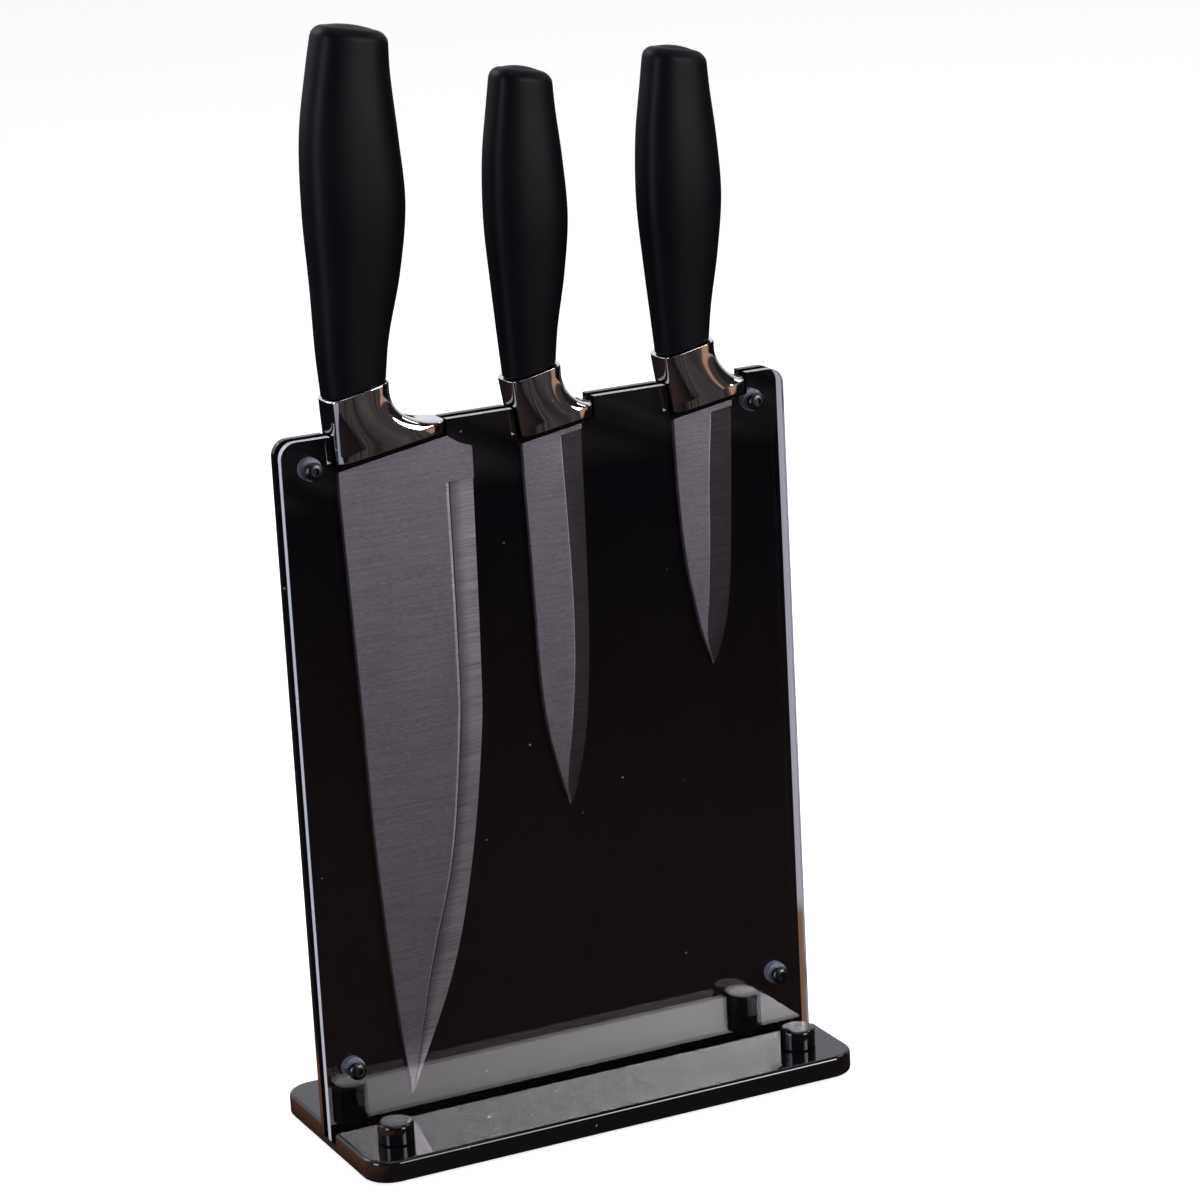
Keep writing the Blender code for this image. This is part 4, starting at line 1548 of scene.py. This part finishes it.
    def blade(self) -> None:
        """Ground blade with its bevel, its point and its tang."""
        piece = BladeSkin(self).grow()
        tang = block("tang", self.at(*self.tang_low(-MERGE)), self.at(*self.tang_high(0.0)))
        combine(piece, [tang], "UNION")
        settle(piece)
        bevel = BEVEL_STEEL if self.grind is Grind.HOLLOW else DARK_BEVEL_STEEL
        dress(piece, BLADE_STEEL, bevel, RIDGE_HIGHLIGHT_STEEL, SHADED_STEEL)
        for polygon in piece.data.polygons:
            polygon.material_index = self.zone(polygon.center - self.origin)
        across = piece.data.attributes.new(ACROSS, "FLOAT", "POINT")
        for vertex, value in zip(piece.data.vertices, across.data):
            place = vertex.co - self.origin
            _, ridge, edge = self.outline(-place.z)
            value.value = min(max((place.x - ridge) / max(edge - ridge, EDGE_THICKNESS), 0.0), 1.0)
        fit(piece, self.body, "blade_steel", f"{self.name}_blade")

    def zone(self, place: Vector) -> int:
        """Which finish a place on the blade has.

        Args:
            place: The place, from the spine at the seat.

        Returns:
            Slot number: 0 the flat, 1 the bevel, 2 the ridge's painted highlight, 3 the step's painted shade.
        """
        down = self.slant(-place.z) * (place.x - self.edge[0][1]) - place.z
        spine, ridge, edge = self.outline(down)
        if down < self.bevel_start - LEDGE or place.x < ridge - RIDGE_SHARE * (ridge - spine):
            return 0
        if place.x < ridge:
            return 2 if down > self.bevel_start else 0
        if down < self.bevel_start or place.x < ridge + STEP_SHARE * (edge - ridge):
            return 3
        return 1


@dataclass(frozen=True)
class BladeRow:
    """One row of points across a blade's side."""

    spine: float
    ridge: float
    edge: float
    z: float
    thick: float  # from the middle plane to the flat side
    ground: float  # how much the bevel takes off at the edge
    rise: float  # slope of the row along x


@dataclass
class BladeSkin:
    """Grows one side of a blade from its point up, then mirrors it."""

    knife: Knife
    face_columns: int = 4
    bevel_columns: int = 7
    under_bolster: float = 0.0012
    shoulder_inset: float = 0.0004  # from the guard's tip to where the heel's hollow starts
    shoulder_power: float = 1.5

    def grow(self) -> bpy.types.Object:
        """Grows the blade.

        Returns:
            The blade.
        """
        rows = self.knife.rows()
        first = rows[0]
        deselect()
        bpy.ops.mesh.primitive_plane_add(size=TOUCH_GAP, location=self.spot(first, 0.0, 0.0))
        piece = christen(f"{self.knife.name}_ground_blade")
        shares = self.columns()
        with editing(piece):
            bpy.ops.mesh.select_all(action="SELECT")
            bpy.ops.mesh.merge(type="CENTER")
            spots = [self.spot(first, *share) for share in shares]
            bpy.ops.transform.translate(value=spots[0] - self.spot(first, 0.0, 0.0))
            for last, new in zip(spots, spots[1:]):
                bpy.ops.mesh.extrude_vertices_move(TRANSFORM_OT_translate={"value": new - last})
            bpy.ops.mesh.select_all(action="SELECT")
            for last, new in zip(rows, rows[1:]):
                self.step(piece, last, new)
            self.crown(piece, rows[-1])
            bpy.ops.mesh.select_all(action="SELECT")
            bpy.ops.mesh.region_to_loop()
            bpy.ops.mesh.extrude_edges_move(TRANSFORM_OT_translate={"value": (0.0, 0.0, 0.0)})
            bpy.ops.transform.resize(value=(1.0, 0.0, 1.0), center_override=self.knife.origin)
        modify(piece, "MIRROR", use_axis=(False, True, False), merge_threshold=MERGE)
        settle(piece)
        return piece

    def columns(self) -> list[Station]:
        """Where the columns stand: the flat from -1 to 0, then the bevel from 0 to 1.

        Returns:
            (share across, share of the bevel's depth).
        """
        wall = 0.16 if self.knife.grind is Grind.HOLLOW else 0.04
        made = [(-1 + i / self.face_columns, 0.0) for i in range(self.face_columns)]
        made += [(-RIDGE_SHARE, 0.0), (0.0, 0.0), (STEP_SHARE, wall)]
        for i in range(1, self.bevel_columns + 1):
            share = i / self.bevel_columns
            hollow = 1 - (1 - share) ** self.knife.grind.value
            made.append((STEP_SHARE + (1 - STEP_SHARE) * share, wall + (1 - wall) * hollow))
        return made

    def spot(self, row: BladeRow, across: float, depth: float) -> Vector:
        """A point of a row.

        Args:
            row: The row.
            across: From -1 at the spine, by 0 at the ridge, to 1 at the edge.
            depth: Share of the bevel's depth.

        Returns:
            The point.
        """
        wide = row.ridge - row.spine if across < 0 else row.edge - row.ridge
        x = row.ridge + across * wide
        z = row.z + row.rise * (x - row.edge)
        return self.knife.at(x, -row.thick + depth * row.ground, z)

    def step(self, piece: bpy.types.Object, last: BladeRow, new: BladeRow) -> None:
        """Extrudes the topmost row and shapes it into the next.

        Args:
            piece: The blade, with its topmost row selected.
            last: The row that is selected.
            new: The row to make.
        """
        from_ridge, to_ridge = self.spot(last, 0.0, 0.0), self.spot(new, 0.0, 0.0)
        bpy.ops.mesh.extrude_edges_move(TRANSFORM_OT_translate={"value": to_ridge - from_ridge})
        mesh = bmesh.from_edit_mesh(piece.data)
        mesh.verts.index_update()
        row = {vert.index for vert in mesh.verts if vert.select}
        flat = (-1, (new.ridge - new.spine) / (last.ridge - last.spine), 1.0)
        bevel = (1, (new.edge - new.ridge) / (last.edge - last.ridge), new.ground / last.ground)
        for side, wider, deeper in (flat, bevel):
            pick(
                piece,
                Element.VERT,
                lambda vert: vert.index in row and (vert.co.x - to_ridge.x) * side > MERGE / 4,
            )
            bpy.ops.transform.resize(value=(wider, deeper, wider), center_override=to_ridge)
        pick(piece, Element.VERT, lambda vert: vert.index in row)
        tilt = atan(new.rise) - atan(last.rise)
        if tilt:
            bpy.ops.transform.rotate(value=tilt, orient_axis="Y", center_override=to_ridge)

    def crown(self, piece: bpy.types.Object, top: BladeRow) -> None:
        """Closes the bevel above and carries the blade up to its upper edge.

        Args:
            piece: The blade, with its topmost row selected.
            top: The bevel's last row.
        """
        flush = BladeRow(top.spine, top.ridge, top.edge, top.z + LEDGE, top.thick, 0.0, top.rise)
        ridge = self.spot(flush, 0.0, 0.0)
        bpy.ops.mesh.extrude_edges_move(TRANSFORM_OT_translate={"value": (0.0, 0.0, LEDGE)})
        bpy.ops.transform.resize(value=(1.0, 0.0, 1.0), center_override=ridge)
        for share in (0.5, 1.0):
            bpy.ops.mesh.extrude_edges_move(TRANSFORM_OT_translate={"value": (0.0, 0.0, MERGE * 2)})
            self.raise_to(piece, flush, share)

    def raise_to(self, piece: bpy.types.Object, flush: BladeRow, share: float) -> None:
        """Moves each point of the selected row up towards the blade's upper edge.

        Args:
            piece: The blade.
            flush: The row that the upper part starts from.
            share: How far up to move.
        """
        knife = self.knife
        mesh = bmesh.from_edit_mesh(piece.data)
        row = sorted((vert for vert in mesh.verts if vert.select), key=lambda vert: vert.co.x)
        for vert in row:
            x = vert.co.x - knife.origin.x
            start = knife.at(x, 0.0, flush.z + flush.rise * (x - flush.edge)).z
            vert.co.z = start + (knife.at(x, 0.0, self.upper_edge(x)).z - start) * share
        bmesh.update_edit_mesh(piece.data)

    def upper_edge(self, x: float) -> float:
        """Height of the blade's upper edge.

        Args:
            x: Distance from the spine.

        Returns:
            The height above the seat.
        """
        knife = self.knife
        under = knife.foot_height(x) - self.under_bolster
        shoulder = knife.guard_reach - self.shoulder_inset
        if not knife.shoulder_drop or x <= shoulder:
            return under
        high = knife.foot_height(shoulder) - self.under_bolster
        share = min(1.0, (x - shoulder) / (knife.heel[0] - shoulder))
        return knife.heel[1] + (high - knife.heel[1]) * (1 - share) ** self.shoulder_power


CHEF = Knife(
    name="chef",
    blade_length=0.2012,
    blade_thickness=0.002,
    spine=((0, 0), (0.068, 0.0024), (0.1226, 0.0041), (0.1733, 0.0075), (0.2012, 0.0108)),
    bevel=(
        (0, 0.0352), (0.068, 0.0348), (0.087, 0.0339),
        (0.1274, 0.0286), (0.1619, 0.0192), (0.2012, 0.0108),
    ),
    edge=(
        (0, 0.0438), (0.0696, 0.0425), (0.0885, 0.0415),
        (0.1288, 0.0357), (0.1636, 0.0270), (0.2012, 0.0108),
    ),
    heel=(0.0440, 0.0),
    bevel_start=0.0101,
    bevel_slope=0.0,
    shoulder_drop=True,
    neck_left=-0.0023,
    neck_width=0.0196,
    neck_rise=0.0203,
    guard_reach=0.0343,
    guard_power=2.2,
    handle_length=0.1066,
    handle_lean=0.0067,
    belly_width=0.0306,
    handle_depth=0.0206,
    tang_length=0.060,
    grind=Grind.HOLLOW,
)
UTILITY = Knife(
    name="utility",
    blade_length=0.1182,
    blade_thickness=0.0018,
    spine=((0, 0), (0.048, 0.0014), (0.075, 0.0020), (0.0924, 0.0036), (0.1114, 0.0078), (0.1182, 0.0100)),
    bevel=(
        (0, 0.0130), (0.050, 0.0142), (0.0723, 0.0136),
        (0.0903, 0.0118), (0.1105, 0.0090), (0.1182, 0.0100),
    ),
    edge=(
        (0, 0.0202), (0.0465, 0.0197), (0.0734, 0.0187),
        (0.0957, 0.0164), (0.1122, 0.0125), (0.1182, 0.0100),
    ),
    heel=(0.0204, 0.0040),
    bevel_start=0.0002,
    bevel_slope=0.168,
    shoulder_drop=False,
    neck_left=-0.0041,
    neck_width=0.0172,
    neck_rise=0.0181,
    guard_reach=0.0231,
    guard_power=1.85,
    handle_length=0.0915,
    handle_lean=0.0029,
    belly_width=0.0254,
    handle_depth=0.0176,
    tang_length=0.050,
)
PARING = Knife(
    name="paring",
    blade_length=0.0819,
    blade_thickness=0.0018,
    spine=((0, 0), (0.0313, 0.0011), (0.0486, 0.0026), (0.0616, 0.0049), (0.0723, 0.0072), (0.0819, 0.0105)),
    bevel=(
        (0, 0.0130), (0.022, 0.0114), (0.044, 0.0105),
        (0.0587, 0.0095), (0.0723, 0.0084), (0.0819, 0.0105),
    ),
    edge=(
        (0, 0.0204), (0.0233, 0.0194), (0.0526, 0.0177),
        (0.067, 0.0158), (0.0772, 0.0128), (0.0819, 0.0105),
    ),
    heel=(0.0206, 0.0040),
    bevel_start=0.0004,
    bevel_slope=0.168,
    shoulder_drop=False,
    neck_left=-0.0039,
    neck_width=0.0177,
    neck_rise=0.0183,
    guard_reach=0.0240,
    guard_power=1.6,
    handle_length=0.0920,
    handle_lean=0.0022,
    belly_width=0.0262,
    handle_depth=0.0180,
    tang_length=0.050,
)
KNIVES = (CHEF, UTILITY, PARING)


# ---------------------------------------------------------------- the studio
def heading(azimuth: float, elevation: float) -> Vector:
    """Direction from the stand towards a place round it.

    Args:
        azimuth: Degrees, 0 in front and 90 on the right.
        elevation: Degrees above the floor.

    Returns:
        A unit vector.
    """
    a, e = radians(azimuth), radians(elevation)
    return Vector((sin(a) * cos(e), -cos(a) * cos(e), sin(e)))


@dataclass(frozen=True)
class Softbox:
    """A flat lamp that faces the stand."""

    name: str
    azimuth: float
    elevation: float
    distance: float
    width: float
    height: float
    radiance: float
    colour: Colour
    fade: float = 1.0  # share of the radiance at the end that is dimmer

    def hang(self, target: Vector) -> None:
        """Hangs the lamp.

        Args:
            target: What it faces.
        """
        data = bpy.data.lights.new(self.name, "AREA")
        data.shape = "RECTANGLE"
        data.size, data.size_y = self.width, self.height
        data.energy = self.radiance * self.width * self.height * pi
        data.color = self.colour
        data.use_nodes = True
        nodes = Nodes(data.node_tree)
        across = nodes.split(nodes.add("NewGeometry").outputs["Parametric"])[0]
        glow = data.node_tree.nodes["Emission"]
        nodes.feed(glow.inputs["Strength"], nodes.remap(across, 0.15, 0.85, self.fade, 1.0))
        lamp = bpy.data.objects.new(self.name, data)
        bpy.context.scene.collection.objects.link(lamp)
        away = heading(self.azimuth, self.elevation)
        lamp.location = target + away * self.distance
        lamp.rotation_euler = away.to_track_quat("Z", "Y").to_euler()


@dataclass
class Studio:
    """Camera, lamps, floor and the light from all round."""

    azimuth: float = -25.25
    elevation: float = 15.29
    roll: float = -3.07
    distance: float = 1.2242
    lens: float = 119.35
    aim: Place = (0.0189, 0.0, -0.0130)  # from the middle of the stand
    floor_side: float = 16.0
    softboxes: Sequence[Softbox] = (
        Softbox("key_softbox", 26.0, 17.0, 1.6, 0.60, 0.75, 19.0, (1.0, 0.96, 0.99), 0.42),
        Softbox("rim_card", 84.0, 40.0, 1.5, 0.50, 0.50, 3.5, (1.0, 1.0, 1.0)),
        Softbox("back_softbox", 208.0, 34.0, 1.6, 0.80, 0.50, 4.0, (0.95, 0.97, 1.0)),
        Softbox("left_softbox", -78.0, 12.0, 1.5, 0.50, 0.9, 9.0, (0.78, 0.85, 1.0)),
        Softbox("top_softbox", 20.0, 82.0, 1.6, 1.0, 0.8, 1.6, (1.0, 1.0, 1.0)),
    )

    def build(self) -> None:
        """Sets up the studio round the stand."""
        middle = (CAD_BOX[0] + CAD_BOX[1]) / 2
        self.camera(middle + Vector(self.aim))
        for softbox in self.softboxes:
            softbox.hang(middle)
        self.floor()
        self.surroundings()
        bpy.context.scene.view_settings.view_transform = "Standard"

    def camera(self, target: Vector) -> None:
        """Stands the camera and aims it.

        Args:
            target: The point in the middle of the picture.
        """
        data = bpy.data.cameras.new("camera")
        data.lens = self.lens
        data.clip_start, data.clip_end = 0.05, 50.0
        camera = bpy.data.objects.new("camera", data)
        bpy.context.scene.collection.objects.link(camera)
        away = heading(self.azimuth, self.elevation)
        right = Vector((cos(radians(self.azimuth)), sin(radians(self.azimuth)), 0.0))
        up = away.cross(right)
        roll = radians(self.roll)
        turned_right = right * cos(roll) + up * sin(roll)
        turned_up = away.cross(turned_right)
        camera.matrix_world = Matrix.Translation(target + away * self.distance) @ Matrix(
            (turned_right, turned_up, away)
        ).transposed().to_4x4()
        bpy.context.scene.camera = camera

    def floor(self) -> None:
        """Plain pale floor, which polished faces see as dark warm shade."""
        deselect()
        bpy.ops.mesh.primitive_plane_add(size=self.floor_side, location=(0, 0, 0))
        floor = christen("studio_floor")
        material = bpy.data.materials.new("floor_paper")
        material.use_nodes = True
        nodes = Nodes(material.node_tree)
        shader = material.node_tree.nodes["Principled BSDF"]
        shader.inputs["Base Color"].default_value = (0.84, 0.84, 0.84, 1.0)
        shader.inputs["Roughness"].default_value = 0.9
        # painted reflection: straight through the clear acrylic the floor shows warm brown near the stand and
        # grey behind it, not its own pale
        behind = nodes.remap(nodes.split(nodes.place())[1], 0.105, 0.120)
        beyond = nodes.blend(behind, (0.19, 0.11, 0.072, 1.0), (0.38, 0.36, 0.42, 1.0))
        glow = nodes.add("Emission", {0: (1.0, 1.0, 1.0, 1.0), 1: 0.72})
        seen = nodes.add("AddShader", {0: shader.outputs[0], 1: glow.outputs[0]}).outputs[0]
        surface = self.by_ray(nodes, "Emission", shader.outputs[0], seen, self.mirrored(nodes), beyond)
        nodes.feed(material.node_tree.nodes["Material Output"].inputs["Surface"], surface)
        floor.data.materials.append(material)

    @staticmethod
    def mirrored(nodes: Nodes) -> bpy.types.NodeSocket:
        """What polished faces mirror from the floor: dark paper, a board and timber beyond it, a card.

        Args:
            nodes: The floor's nodes.

        Returns:
            The colour.
        """
        place = nodes.place()
        x, y, _ = nodes.split(place)
        away = nodes.add("VectorMath", {0: place}, operation="LENGTH").outputs["Value"]
        near, far = (0.050, 0.030, 0.026, 1.0), (0.006, 0.005, 0.007, 1.0)
        paper = nodes.blend(nodes.remap(away, 0.20, 0.80), near, far)
        stretched = nodes.add("Mapping", {"Vector": place, "Scale": (26.0, 1.5, 1.0)}).outputs[0]
        streaks = nodes.remap(nodes.noise(stretched, 1.0, 3.0), 0.35, 0.68)
        board = nodes.blend(streaks, (0.014, 0.012, 0.012, 1.0), (0.085, 0.072, 0.074, 1.0))
        timber = nodes.times(nodes.remap(x, 0.60, 0.64), nodes.remap(y, -1.2, -1.1))
        wall = nodes.blend(timber, board, (0.44, 0.27, 0.20, 1.0))
        front = nodes.blend(nodes.remap(y, -0.76, -0.82), paper, wall)
        beside = nodes.times(nodes.remap(x, -0.084, -0.095), nodes.remap(away, 0.140, 0.120))
        warm = nodes.blend(beside, front, (0.50, 0.22, 0.12, 1.0))
        card = nodes.times(nodes.remap(x, -0.50, -0.56), nodes.remap(y, -0.12, -0.20))
        return nodes.blend(card, warm, (0.30, 0.32, 0.38, 1.0))

    def surroundings(self) -> None:
        """Pale all round to the eye; to the stand, light behind and dark in front."""
        world = bpy.data.worlds.new("studio")
        world.use_nodes = True
        bpy.context.scene.world = world
        nodes = Nodes(world.node_tree)
        way = nodes.add("TexCoord").outputs["Generated"]
        behind = nodes.remap(nodes.split(way)[1], -0.1, 0.7)
        tone = nodes.blend(behind, (0.016, 0.015, 0.017, 1.0), (0.85, 0.83, 0.92, 1.0))
        ambient = nodes.add("Background", {0: (0.25, 0.25, 0.26, 1.0)}).outputs[0]
        seen = nodes.add("Background", {0: (1.0, 1.0, 1.0, 1.0)}).outputs[0]
        # painted reflection: straight through the clear acrylic the surroundings show grey, not white
        surface = self.by_ray(nodes, "Background", ambient, seen, tone, (0.38, 0.36, 0.42, 1.0))
        nodes.feed(world.node_tree.nodes["World Output"].inputs["Surface"], surface)

    @staticmethod
    def by_ray(
        nodes: Nodes, glow: str, lit: Input, seen: Input, mirrored: Input, beyond: Input
    ) -> bpy.types.NodeSocket:
        """Chooses what a backdrop shows, by how it is looked at.

        Args:
            nodes: The backdrop's nodes.
            glow: Kind of shader that shows a plain colour.
            lit: Shader for light that spreads from it.
            seen: Shader for the eye.
            mirrored: Colour that polished faces mirror.
            beyond: Colour that shows straight through clear acrylic, a painted reflection in place of the
                pale backdrop.

        Returns:
            The shader.
        """
        path = nodes.add("LightPath").outputs
        straight = nodes.math("LESS_THAN", path["Ray Depth"], 2.5)
        colour = nodes.blend(nodes.times(path["Is Transmission Ray"], straight), mirrored, beyond)
        plain = nodes.add(glow, {0: colour, 1: 1.0}).outputs[0]
        shown = nodes.math("MAXIMUM", path["Is Glossy Ray"], path["Is Transmission Ray"])
        indirect = nodes.add("MixShader", {0: shown, 1: lit, 2: plain}).outputs[0]
        return nodes.add("MixShader", {0: path["Is Camera Ray"], 1: indirect, 2: seen}).outputs[0]


def main() -> None:
    """Builds the studio, the stand and the knives, in that order."""
    logging.basicConfig(level=logging.INFO, format="%(name)s: %(message)s")
    Studio().build()
    Stand().build()
    for knife in KNIVES:
        knife.build()


if __name__ == "__main__":
    main()
